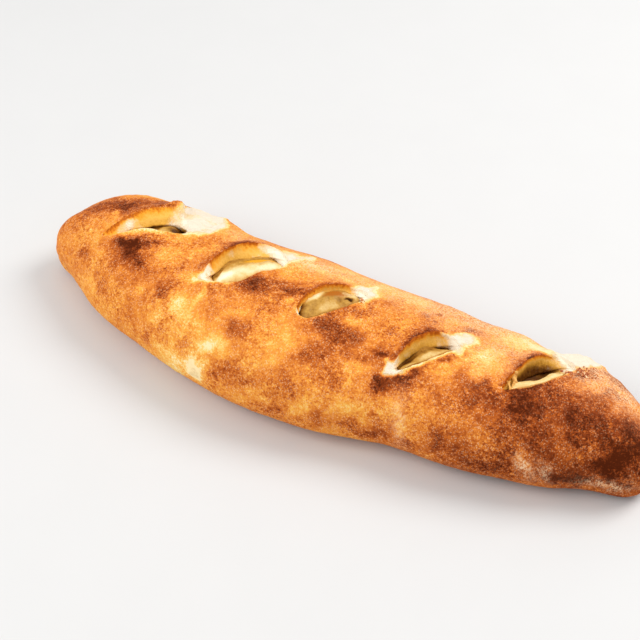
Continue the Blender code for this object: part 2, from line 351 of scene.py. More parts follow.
# A profile's rows are: fraction along the slash; then, in millimetres, where the front lip's edge is
# across it, where the rear wall's foot is, how deep the foot is, and how deep the gap before it is.
SLASHES = (
    Slash("slash_1", -0.121, 0.0058, 20.9, 0.0247, 0.024, 0.31, 0.77, rise=0.003, sunk=True, profile=(
        (0, 0, 0, 0.2, 0.2), (0.1, -0.9, 1, 1, 1), (0.2, -0.4, 3.2, 2.2, 2.2), (0.3, 0.8, 5.6, 3.4, 4.4),
        (0.37, 2.2, 7.8, 4.2, 9), (0.47, 3.5, 10.4, 4.9, 11), (0.56, 3.3, 12.6, 5.2, 11),
        (0.66, 2.4, 13.6, 5.1, 11), (0.78, 0.9, 13.8, 4.6, 11), (0.86, 0.1, 12.6, 4.2, 11),
        (0.93, 0.2, 10.6, 3.8, 10), (0.97, 0.9, 8, 3, 5), (1, 2.2, 3, 0.8, 1),
    )),
    Slash("slash_2", -0.053, 0.0046, 47, 0.0251, 0.0187, 0.2, 0.56, rise=0.0035, profile=(
        (0, 0, 0, 0.5, 0.5), (0.05, -2.5, 1.4, 1.6, 1.8), (0.12, -5, 3.4, 3.4, 5),
        (0.22, -8.8, 6.6, 4.4, 11), (0.31, -10, 10.4, 4.6, 11), (0.4, -10, 12.7, 4.6, 11),
        (0.51, -8.6, 12.9, 4.4, 11), (0.6, -6.6, 11.8, 4.2, 11), (0.67, -6.1, 12.4, 4, 11),
        (0.77, -6.8, 12, 3.8, 11), (0.86, -6.6, 9.8, 3, 8), (0.92, -4.8, 6.2, 2, 3),
        (0.97, -2, 2.6, 1, 1), (1, 0, 0, 0.4, 0.4),
    )),
    Slash("slash_3", 0.0042, 0.0009, 48.6, 0.0207, 0.0126, 0.03, 0.62, rise=0.0028, profile=(
        (0, 0, 0, 0.4, 0.5), (0.07, -3.6, 4, 2, 5), (0.19, -5, 7.5, 2.6, 9), (0.34, -4.8, 9.8, 2.6, 10),
        (0.48, -4.2, 10.4, 2.6, 10), (0.64, -3.4, 9.8, 2.6, 10), (0.76, -2.6, 8.2, 2.4, 9),
        (0.86, -1.8, 5, 2, 4), (0.94, -0.8, 2.4, 1, 1.2), (1, 0, 0, 0.4, 0.4),
    )),
    Slash("slash_4", 0.0627, -0.01, 48.9, 0.0203, 0.0122, 0.28, 0.74, rise=0.003, profile=(
        (0, 0, 0, 0.4, 0.4), (0.1, -1.1, 1.6, 1.9, 2.4), (0.18, -1.4, 3.4, 3.6, 7),
        (0.26, -1.6, 5.4, 5, 11), (0.41, -2, 7.8, 5.2, 11), (0.54, -2, 9, 5.2, 11),
        (0.65, -1.5, 9, 5, 11), (0.8, -0.8, 8, 4.8, 11), (0.9, -0.6, 6.4, 4, 9),
        (0.95, -0.4, 4, 2.2, 2.8), (1, 0, 0, 0.4, 0.4),
    )),
    Slash("slash_5", 0.1189, 0.0067, 49.8, 0.0215, 0.0118, 0.37, 0.81, rise=0.003, profile=(
        (0, 0, 0, 0.6, 1), (0.05, -1.5, 0.4, 3, 6), (0.12, -2.7, 1.5, 5, 9), (0.3, -4.1, 4.8, 8, 11),
        (0.5, -4.4, 7.6, 8, 11), (0.65, -3.8, 8.2, 7.6, 11), (0.77, -3.1, 7, 5.6, 10),
        (0.86, -2.2, 5.2, 3.2, 4.6), (0.94, -1, 2.8, 1.4, 1.6), (1, 0, 0, 0.4, 0.4),
    )),
)


@dataclass(frozen=True)
class Tear:
    """The torn corner behind the first slash, with the bare patch of dough beside it."""

    slash: str = "slash_1"
    start: Range = (-0.1195, 0.0480)
    angle: float = -62.0
    softness: float = 0.0012
    patch: tuple[float, float, float, float] = (-0.1020, 0.0340, 0.0190, 0.0200)
    depth: float = 0.0022
    corner_place: Range = (-0.1172, 0.0365)
    corner_reach: float = 0.0062
    corner_rise: float = 0.0034
    fray: Unevenness = Unevenness(0.0026, 5, 2)
    fray_depth: float = 0.0016
    rim: Unevenness = Unevenness(0.0110, 16, 3)

    def beyond_distance(self, points: Array) -> Array:
        """Distance of points from the torn edge, growing towards the bare dough."""
        x, y = points[..., 0] - self.start[0], points[..., 1] - self.start[1]
        return turned(x, y, self.angle)[1]

    def beyond(self, points: Array) -> Array:
        """On which side points lie: 0 on the crust, 1 on the bare dough."""
        frayed = self.beyond_distance(points) + self.fray_depth * self.fray.at(points)
        return ease(frayed, -self.softness, self.softness)

    def corner(self, points: Array) -> Array:
        """How far the torn corner stands up."""
        x, y = points[..., 0] - self.corner_place[0], points[..., 1] - self.corner_place[1]
        ragged = 1 + 0.25 * self.fray.at(points)
        return self.corner_rise * ragged * hill(np.hypot(x, y) / self.corner_reach)

    def reach(self, points: Array) -> Array:
        """Distance from the middle of the bare patch, about 1 on its rim."""
        x, y, half_length, half_width = self.patch
        plain = np.hypot((points[..., 0] - x) / half_length, (points[..., 1] - y) / half_width)
        below = ease(points[..., 2], 0.032, 0.022)
        return plain * (1 + 0.16 * self.rim.at(points)) + below

    def recess(self, points: Array) -> Array:
        """Depth of the bare patch at points of the crust."""
        return self.depth * ease(self.reach(points), 1.0, 0.5) * self.beyond(points)


class MarkKind(Enum):
    """What a mark on the crust is."""

    CHAR = "char"
    PALE = "pale"
    RAW = "raw"
    FLOURY = "floury"


@dataclass(frozen=True)
class MarkTable:
    """Marks on the crust, picked on the photo and mapped to the roll by a scratch script.

    Those of the rear side, which the photo doesn't show, are a guess. A row is X, girth,
    half length, half width, tilt from +X towards the front, and strength.
    """

    rows: Rows
    ragged: float = 2.3
    crisp: float = 1.0
    tightness: float = 0.8
    depth: float = 0.016
    large: Unevenness = Unevenness(0.007, 2)
    small: Unevenness = Unevenness(0.0032, 9)

    def field(self, roll: Roll, points: Array) -> Array:
        """How strongly the marks show at points.

        Args:
            roll: The form that the marks lie on.
            points: Points of the crust.

        Returns:
            One number for each point, the sum of the marks there.
        """
        ragged = self.ragged * MM
        moved = points + ragged * self.large.around(points)
        moved = moved + 0.5 * ragged * self.small.around(points)
        total = np.zeros(len(points))
        for x, girth, half_length, half_width, tilt, strength in self.rows:
            middle, along, round_it = roll.tangents(x, girth)
            offset = moved - middle
            u, v = turned(offset @ along, offset @ round_it, tilt)
            reach = np.hypot(u / (half_length * MM), v / (half_width * MM))
            shown = np.exp(-((self.tightness * reach) ** (2 * self.crisp)))
            total += strength * (shown * hill(offset @ np.cross(along, round_it) / self.depth))
        return total


MARKS: dict[MarkKind, MarkTable] = {
    MarkKind.CHAR: MarkTable((
        (-148, 83, 6.4, 4.4, -13, 0.52), (-139, 70, 21.8, 4.1, -19, 0.4),
        (-122, 107, 12.6, 4.6, -18, 0.74), (-118.5, 113.5, 7.6, 6.4, -16, 0.7),
        (-113, 120, 6.4, 3.5, 12, 0.5), (-151, 141, 5.1, 3.9, 59, 0.5), (-132, 153, 7, 2.5, 54, 0.45),
        (-126, 150, 5.3, 2.3, 54, 0.35), (-89, 126, 9.3, 4.1, -70, 0.6), (-92, 110, 11.4, 2.2, -26, 0.3),
        (-35, 91, 17.8, 6, -13, 0.62), (-44, 95, 4.9, 4.7, -26, 0.36), (-34, 125, 6, 4.7, -21, 0.5),
        (9, 124, 8.4, 6.3, -23, 0.58), (-34, 157, 7.3, 4.8, -20, 0.5), (-19, 161, 5.4, 3.2, -21, 0.38),
        (-18, 145, 5.3, 3.8, 57, 0.3), (2, 149, 8, 6.8, 9, 0.5), (-3, 179, 5.7, 4.9, -24, 0.5),
        (24, 172, 6.8, 4.7, 57, 0.42), (27, 137, 4.1, 4.2, -22, 0.4), (38, 173, 3.6, 3.9, -14, 0.32),
        (14, 163, 4.4, 2.8, -19, 0.3), (11, 101, 11.8, 5.4, 5, 0.92), (-89, 171, 5.4, 2.9, -28, 0.4),
        (-105, 164, 4.7, 4.8, 81, 0.25), (-61, 152, 4.5, 2.7, -19, 0.3), (-76, 155, 7, 2.7, -20, 0.25),
        (-61, 166, 4.4, 2.2, -24, 0.3), (-82, 78, 14.4, 4, -18, 0.28), (-19, 89, 4.9, 4, -14, 0.4),
        (15, 87, 9.7, 3.9, -37, 0.36), (20, 77, 3.8, 3.1, -62, 0.5), (24, 106, 7.3, 3.9, -27, 0.45),
        (40, 110, 4.1, 3.7, -26, 0.4), (51, 131, 9.6, 3.6, -28, 0.8), (44, 131, 3.6, 3.7, -23, 0.6),
        (53, 68, 5.9, 3.1, -21, 0.45), (94, 111, 7, 7, -26, 0.46), (94, 127, 6, 5.2, -23, 0.3),
        (117, 117, 9.1, 5.5, 59, 0.7), (112, 106, 8.7, 2.9, -39, 0.6), (84, 165, 5.5, 3.8, 68, 0.65),
        (50, 178, 7, 4.5, 5, 0.38), (37, 177, 4.1, 3.6, -14, 0.4), (51, 161, 3.2, 2.1, 67, 0.35),
        (96, 161, 6, 4.8, -19, 0.3), (108, 176, 7.8, 2.8, 2, 0.4), (129, 135, 6.4, 4.8, 60, 0.4),
        (139, 149, 5.6, 4, -19, 0.3), (149, 110, 9.3, 7.7, -18, 0.5), (167, 131, 9.6, 8.4, 40, 0.53),
        (171, 97, 6.8, 4.8, 49, 0.56), (162, 156, 6.4, 4.4, -15, 0.5), (157, 76, 7.6, 2.3, -32, 0.4),
        (133, 101, 6.4, 4.9, -17, 0.35), (138, 70, 6.1, 3.6, -35, 0.75), (74, 69, 5.3, 2.9, -23, 0.55),
        (102, 83, 5.2, 3, -67, 0.35), (74, 134, 4, 2.6, -21, 0.2), (60, 134, 4.6, 2.6, -22, 0.3),
        (-3, 111, 4.2, 3.8, -24, 0.25), (-83, 98, 5.1, 2.4, -24, 0.3), (-127, 129, 5.4, 5.1, -14, 0.25),
        (126, 110, 4.9, 3.4, 8, 0.35), (148, 133, 5.6, 3.5, -2, 0.35), (113, 139, 4.4, 3.5, -22, 0.3),
        (72, 179, 4.7, 3.1, -6, 0.35), (61, 164, 2.6, 2.2, -20, 0.25), (-158, 92, 10, 8, -10, 0.26),
        (-148, 72, 14, 7, -12, 0.34), (-132, 56, 12, 5, -24, 0.5), (-124, 44, 8, 4, -24, 0.55),
        (-168, 104, 6, 8, 0, 0.2), (150, 168, 14, 7, 0, 0.34), (120, 176, 14, 5, 0, 0.24),
        (172, 150, 8, 9, 0, 0.22), (58, 120.5, 5.5, 3, -38, 0.55), (44, 113, 5, 3.2, -20, 0.58),
        (38, 115, 5, 3, -20, 0.42), (46, 126, 4.5, 2.6, -20, 0.42), (62, 114, 3.5, 2.2, -40, 0.35),
        (67.5, 104, 5.5, 2.6, -45, 0.72), (119, 158, 4.5, 3, -10, 0.42), (46, 181, 3.5, 3, 0, 0.34),
        (164.5, 137, 7, 2.4, 80, 0.28), (90.6, 108, 4, 2.6, -20, 0.26), (117.5, 100.5, 4, 2, -30, 0.26),
        (-72, 137, 4, 3, 52, 0.24), (-148, 90, 8, 4, -16, 0.3), (-142, 80, 8, 4, -16, 0.34),
        (150, 179, 12, 3, 0, 0.65), (180, 135, 4, 5, 0, 0.35), (147, 127, 5, 4, -20, 0.36),
        (118, 98, 4.5, 2, -30, 0.4), (28, 117, 6, 3.4, -20, 0.36), (43, 147, 5, 3.5, -20, 0.3),
        (-22.5, 99, 4, 4, -60, 0.34), (39, 94, 3.5, 3, -20, 0.32), (57, 120, 4, 3, -40, 0.3),
        (51, 180, 4, 3, 0, 0.34), (-75, 96, 4, 2.5, -20, 0.5), (-60, 106, 4.5, 3, -20, 0.3),
        (-121, 102.5, 11, 1.9, -18, 0.44), (-124, 111, 11, 7.5, -10, 0.12), (-134, 112, 6, 5, -20, 0.3),
        (-142, 87, 5, 3, -16, 0.24), (120, 92, 5, 2.2, -35, 0.3), (132, 139, 6, 4.5, -20, 0.12),
        (56, 74, 6, 3, -20, 0.22), (8, 92, 4, 2.2, -30, 0.25), (-78, 90, 4.5, 3, -20, 0.28),
        (-54, 62, 4, 2.5, -20, 0.34), (-22, 105, 4, 2.6, -20, 0.26),
        # the rear side, which bakes a little more evenly
        (-140, 22, 11, 5, 10, 0.4), (-104, 8, 8, 6, 0, 0.35), (-66, 20, 12, 5, 15, 0.45),
        (-24, 30, 9, 4, -20, 0.4), (6, 10, 12, 6, 5, 0.45), (40, 28, 8, 4.5, 25, 0.35),
        (70, 12, 11, 6, -10, 0.5), (112, 20, 9, 6, 0, 0.5), (146, 14, 10, 7, 20, 0.55),
        (-86, -8, 14, 4, 0, 0.4), (-20, -8, 12, 4, 0, 0.45), (50, -8, 14, 4, 0, 0.45),
        (120, -8, 12, 4, 0, 0.5),
    )),
    MarkKind.PALE: MarkTable((
        (-74, 130, 6.3, 3.4, 52, 0.75), (-66, 117, 8, 1.6, -81, 0.7), (-45, 144, 7.1, 3.2, -23, 0.95),
        (-52, 175, 5.2, 4.3, 80, 1.15), (-56, 170, 13, 7.6, -26, 0.38), (-71, 175, 9.1, 6.6, -15, 0.4),
        (-13, 141, 11.7, 2.7, -45, 0.4), (-68, 148, 5.2, 4.3, -18, 0.3), (-48, 135, 8.1, 5.1, -19, 0.35),
        (-11, 123, 7.5, 4.7, -22, 0.22), (-17, 95, 1.6, 1.5, -28, 0.6), (-84, 149, 4.1, 2.2, -18, 0.35),
        (-88, 135, 3.7, 2.1, 52, 0.46), (12.4, 83, 3, 2, -30, 0.3), (64, 162, 8.6, 2.1, 72, 0.3),
        (130.5, 169, 5, 2, 60, 0.3), (141, 172, 4, 2.4, 80, 0.22), (129, 158, 2.8, 2.1, -17, 0.2),
        (171, 179, 8, 2, 0, 0.3), (50, 65, 32.5, 5, 19, 0.3), (99, 62, 12, 6, -23, 0.34),
        (19, 94, 7, 3.2, -42, 0.42), (80, 97, 10.3, 4.7, -29, 0.22), (74, 106, 6.1, 3.7, -26, 0.2),
        (37, 158, 7.1, 4.8, -18, 0.35), (156, 38, 6, 3, 8, 0.3), (64, 136, 7.1, 3.6, -21, 0.22),
        (-34, 144, 5.2, 2.7, -19, 0.35), (-27, 133, 4.3, 2.3, -41, 0.25), (-10, 64, 24.3, 3.1, 6, 0.3),
        (-129, 100, 5.3, 2.6, -27, 0.45), (-41, 119, 6.6, 4.4, -21, 0.2), (16, 151, 6.3, 3.6, -20, 0.2),
        (130, 89, 8, 2.8, -18, 0.3), (-64, 132, 4.7, 2.9, -18, 0.3), (-45, 159, 3.9, 2.7, -21, 0.4),
        (-67, 194, 5.9, 5.2, -8, 0.4), (-21, 181, 6.6, 3.8, 8, 0.25), (7, 138, 6.3, 2.7, -36, 0.25),
        (86, 85, 9.2, 3.1, -15, 0.25), (-118, 82, 4.6, 3.1, -27, 0.2), (0, 58, 40, 9, 10, 0.22),
        (72, 52, 40, 10, 8, 0.34), (112, 50, 16, 12, 0, 0.5), (-66, 62, 12, 5, 12, 0.14),
        (93, 95, 9, 7, -25, 0.76), (98, 84, 9, 5, -20, 0.4), (139, 80, 7, 4, -15, 0.26),
        (147, 72, 9, 6, -10, 0.5), (160, 70, 10, 6, -10, 0.26), (170, 60, 6, 7, 0, 0.45),
        (14, 82, 5, 3, -20, 0.4), (-22, 141, 5, 3, -20, 0.4), (-100, 135, 5, 3.5, -20, 0.58),
        (-134, 124, 4, 3, -20, 0.26), (-8, 172, 6, 3.5, 0, 0.42), (14, 167, 6, 4, -20, 0.78),
        (-98, 86, 7, 3.2, -25, 0.46), (-104, 101, 7.5, 4.2, -20, 0.4), (5, 138, 6, 4, -20, 0.38),
        (-4, 154, 6, 4, -10, 0.38), (11.5, 147, 4, 3, -20, 0.3), (104, 108, 3.5, 3, -20, 0.36),
        (19, 98, 4, 3, -20, 0.34), (125, 130, 5, 3.5, -20, 0.34), (139, 102, 5, 3.5, -20, 0.34),
        (109, 107, 4.5, 3.5, -20, 0.3), (72, 134, 5, 4, -20, 0.34), (-2, 171, 5, 3.5, 0, 0.3),
        (-60, 136, 4.5, 3, -20, 0.32), (76, 99, 4.5, 2.4, -45, 0.42), (68, 167.5, 4, 3, 0, 0.3),
        (12, 161.5, 4.5, 3.5, 0, 0.3), (-33, 149, 4, 3, -20, 0.28), (96, 78, 10, 5, -20, 0.24),
        (-141.5, 105, 4, 3, -16, 0.3),
        # the rear side, which bakes a little more evenly
        (-118, 10, 9, 4, 0, 0.35), (-44, 12, 12, 5, 10, 0.35), (24, 22, 10, 4, 0, 0.35),
        (92, 24, 9, 4, 0, 0.3), (130, 4, 10, 4, 0, 0.35), (-4, 48, 10, 4, 0, 0.2),
    ), ragged=1.4, crisp=1.3),
    MarkKind.RAW: MarkTable((
        (-40, 62, 6.5, 4.8, -86, 1), (-31, 59, 6.9, 2.4, -36, 0.7), (-70, 104.5, 4, 2.3, -57, 0.9),
        (15, 71, 4.8, 4.7, -60, 1), (50.7, 118.4, 4.6, 3.5, -67, 1.05), (75.5, 82.5, 7.4, 4.8, -64, 1),
        (54.5, 115.5, 3.6, 1.2, -45, 0.6), (131, 54, 12.5, 7, -44, 1.15), (118, 47, 7, 4.6, -30, 0.95),
        (141, 50, 5, 4, -20, 0.8), (-27, 52, 3.3, 2, -55, 0.45), (15, 62, 4.5, 1.5, -82, 0.5),
        (-105, 64, 10.6, 6.2, 44, 0.6), (-52, 176, 3.6, 3, 80, 0.55),
    ), ragged=2, crisp=1.6),
    # Flour marks; those along the rear strip also stand for a painted sheen of the light from behind
    MarkKind.FLOURY: MarkTable((
        (-14, 58, 26, 9, 6, 0.6), (34, 54, 30, 10, 14, 0.7), (72, 46, 26, 10, 10, 0.8),
        (108, 42, 26, 10, 4, 0.9), (142, 50, 12, 7, 0, 0.6), (-66, 58, 14, 5, 12, 0.5),
        (-28, 63, 13, 3, -20, 0.9), (130.5, 168.5, 5.6, 2, 60, 1.05), (140, 173, 4.6, 2.2, 80, 0.7),
        (170, 178, 10, 2.6, 0, 0.9), (64, 160, 9, 2.6, 72, 0.75), (-52, 173, 6, 5, 80, 0.4),
        (-100, 60, 12, 4, 20, 0.3), (152, 70, 15, 7, -10, 0.75), (93, 92, 10, 6, -20, 0.3),
        (97, 77, 11, 6, -15, 0.6), (168, 60, 8, 8, 0, 0.6),
    ), ragged=2.4),
}

# ---- Meshes ----


def place_in_scene(name: str, data: bpy.types.ID) -> Piece:
    """Makes an object of its data and puts it in the scene."""
    thing = bpy.data.objects.new(name, data)
    bpy.context.scene.collection.objects.link(thing)
    return thing


def new_piece(name: str, points: Array, faces: Sequence[Sequence[int]]) -> Piece:
    """Makes a smooth mesh object in the scene.

    Args:
        name: The object's name.
        points: Its vertices.
        faces: Its faces, as vertex numbers.

    Returns:
        The new object.
    """
    mesh = bpy.data.meshes.new(name)
    mesh.from_pydata(np.asarray(points).tolist(), [], faces)
    mesh.validate()
    mesh.shade_smooth()
    return place_in_scene(name, mesh)


def merged(name: str, parts: Sequence[tuple[Array, list[list[int]]]]) -> Piece:
    """Makes one mesh of several, from the vertices and faces of each."""
    faces, start = [], 0
    for points, part_faces in parts:
        faces += [[start + corner for corner in face] for face in part_faces]
        start += len(points)
    return new_piece(name, np.concatenate([points for points, _ in parts]), faces)


def loft(name: str, loops: Array) -> Piece:
    """A closed body through a row of closed loops, with a fan over each end.

    Args:
        name: The object's name.
        loops: Points, as loops by points round a loop by three.

    Returns:
        The new object.
    """
    count, around = loops.shape[:2]
    points = np.concatenate([loops.reshape(-1, 3), loops[0].mean(0)[None], loops[-1].mean(0)[None]])
    here = np.arange(around)
    after = (here + 1) % around
    top = (count - 1) * around
    faces = []
    for low in range(0, top, around):
        high = low + around
        faces += np.stack([low + here, low + after, high + after, high + here], 1).tolist()
    ends = ((count * around, after, here), (count * around + 1, top + here, top + after))
    for middle, first, second in ends:
        faces += [[middle, int(a), int(b)] for a, b in zip(first, second)]
    piece = new_piece(name, points, faces)
    face_outwards(piece)
    return piece


def face_outwards(piece: Piece) -> None:
    """Turns all faces of a closed mesh outwards."""
    mesh = bmesh.new()
    mesh.from_mesh(piece.data)
    bmesh.ops.recalc_face_normals(mesh, faces=mesh.faces[:])
    mesh.to_mesh(piece.data)
    mesh.free()


def combine(name: str, base: Piece, operation: str, tools: Sequence[Piece]) -> Piece:
    """Cuts tools from a base or joins them to it, and removes them all.

    Args:
        name: The result's name.
        base: The closed body to start from.
        operation: DIFFERENCE or UNION.
        tools: The closed bodies to cut or join.

    Returns:
        The result. Its faces keep their bodies' materials as slots.
    """
    group = bpy.data.collections.new(name + "_tools")
    bpy.context.scene.collection.children.link(group)
    for tool in tools:
        bpy.context.scene.collection.objects.unlink(tool)
        group.objects.link(tool)
    modifier = base.modifiers.new("combine", "BOOLEAN")
    modifier.operation = operation
    modifier.operand_type = "COLLECTION"
    modifier.collection = group
    modifier.solver = "MANIFOLD"
    modifier.material_mode = "TRANSFER"
    evaluated = base.evaluated_get(bpy.context.evaluated_depsgraph_get())
    mesh = bpy.data.meshes.new_from_object(evaluated)
    mesh.name = name
    for old in [base, *tools]:
        bpy.data.objects.remove(old, do_unlink=True)
    bpy.data.collections.remove(group)
    return place_in_scene(name, mesh)


def split_large_faces(piece: Piece) -> None:
    """Cuts faces of more than four corners into triangles, and drops faulty ones."""
    mesh = bmesh.new()
    mesh.from_mesh(piece.data)
    bmesh.ops.triangulate(mesh, faces=[face for face in mesh.faces if len(face.verts) > 4])
    mesh.to_mesh(piece.data)
    mesh.free()
    piece.data.validate()


def read_column(items: Items, name: str, kind: type, width: int = 1) -> Array:
    """One property of all of a mesh's items, in a row, with width numbers for each."""
    flat = np.empty(len(items) * width, kind)
    items.foreach_get(name, flat)
    return flat


def read_points(piece: Piece) -> Array:
    """The vertices of a piece."""
    return read_column(piece.data.vertices, "co", np.float32, 3).reshape(-1, 3).astype(float)


def write_points(piece: Piece, points: Array) -> None:
    """Moves the vertices of a piece."""
    piece.data.vertices.foreach_set("co", points.astype(np.float32).ravel())
    piece.data.update()


def write_values(piece: Piece, name: str, values: Array) -> None:
    """Stores one number for each vertex, for the finish to read."""
    layer = piece.data.attributes.new(name, "FLOAT", "POINT")
    layer.data.foreach_set("value", np.asarray(values, np.float32))


def share_from_slot(piece: Piece, slot: int) -> Array:
    """The share of each vertex's faces that are in a material slot."""
    mesh, count = piece.data, len(piece.data.vertices)
    slots = read_column(mesh.polygons, "material_index", np.int32)
    totals = read_column(mesh.polygons, "loop_total", np.int32)
    corners = read_column(mesh.loops, "vertex_index", np.int32)
    met = np.bincount(corners, np.repeat(slots == slot, totals).astype(float), count)
    return met / np.maximum(np.bincount(corners, minlength=count), 1)


def edge_ends(piece: Piece) -> tuple[Array, Array]:
    """The numbers of the vertices at both ends of each edge."""
    pairs = read_column(piece.data.edges, "vertices", np.int32, 2)
    return pairs[::2], pairs[1::2]


def rim_of(piece: Piece, inside: Array, steps: int) -> Array:
    """1 on the vertices where cut and uncut faces meet, and on some steps of neighbours."""
    return spread(piece, ((inside > 0.01) & (inside < 0.99)).astype(float), steps)


def soften(piece: Piece, where: Array, passes: int) -> None:
    """Rounds a mesh off by evening its vertices' places out."""
    columns = [even_out(piece, column, where, passes) for column in read_points(piece).T]
    write_points(piece, np.stack(columns, 1))


def spread(piece: Piece, values: Array, steps: int) -> Array:
    """Grows values over a mesh: each vertex takes the greatest of its neighbours' in each step."""
    first, second = edge_ends(piece)
    grown = values.copy()
    for _ in range(steps):
        before = grown.copy()
        np.maximum.at(grown, first, before[second])
        np.maximum.at(grown, second, before[first])
    return grown


def even_out(piece: Piece, values: Array, where: Array, passes: int) -> Array:
    """Evens values out over a mesh.

    Args:
        piece: The piece that has the values.
        values: One number for each vertex.
        where: How much each vertex's number may change, from 0 to 1.
        passes: How often each number moves half way to its neighbours' mean.

    Returns:
        The new numbers.
    """
    first, second = edge_ends(piece)
    count = len(values)
    degree = np.maximum(np.bincount(first, minlength=count) + np.bincount(second, minlength=count), 1)
    for _ in range(passes):
        total = np.bincount(first, values[second], count)
        total += np.bincount(second, values[first], count)
        values = values + 0.5 * where * (total / degree - values)
    return values


def dress(piece: Piece, finish: Material) -> None:
    """Gives a piece its finish and lets it ride on the body."""
    piece.data.materials.clear()
    piece.data.materials.append(finish)
    piece.data.polygons.foreach_set("material_index", [0] * len(piece.data.polygons))
    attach(piece, BODY)
    LOG.info("%s: %d faces", piece.name, len(piece.data.polygons))


# ---- Finishes ----


def tint(red: int, green: int, blue: int) -> Colour:
    """A colour as seen on screen, from 0 to 255, as the linear colour that finishes take."""
    shares = [value / 255 for value in (red, green, blue)]
    linear = [s / 12.92 if s <= 0.04045 else ((s + 0.055) / 1.055) ** 2.4 for s in shares]
    return linear[0], linear[1], linear[2]


class Signal:
    """A number that changes over a surface, for use in Python expressions."""

    def __init__(self, book: "FinishBook", socket: Socket) -> None:
        """Wraps an output socket of a finish's nodes."""
        self.book = book
        self.socket = socket

    def _math(self, operation: str, *values: "Signal | float") -> "Signal":
        """Adds a Math node on values."""
        return self.book.signal("ShaderNodeMath", {"operation": operation}, dict(enumerate(values)))

    def __add__(self, other: "Signal | float") -> "Signal":
        """Sum."""
        return self._math("ADD", self, other)

    __radd__ = __add__

    def __mul__(self, other: "Signal | float") -> "Signal":
        """Product."""
        return self._math("MULTIPLY", self, other)

    __rmul__ = __mul__

    def __sub__(self, other: "Signal | float") -> "Signal":
        """Difference."""
        return self._math("SUBTRACT", self, other)

    def __rsub__(self, other: "Signal | float") -> "Signal":
        """Reflected difference, so that 1 - mask works."""
        return self._math("SUBTRACT", other, self)

    def step(self, low: float, high: float) -> "Signal":
        """Goes smoothly from 0 at low to 1 at high."""
        inputs = {"Value": self, "From Min": low, "From Max": high}
        return self.book.signal("ShaderNodeMapRange", {"interpolation_type": "SMOOTHSTEP"}, inputs)

    def clamped(self) -> "Signal":
        """Kept from 0 to 1."""
        return self.book.signal("ShaderNodeClamp", {}, {"Value": self})


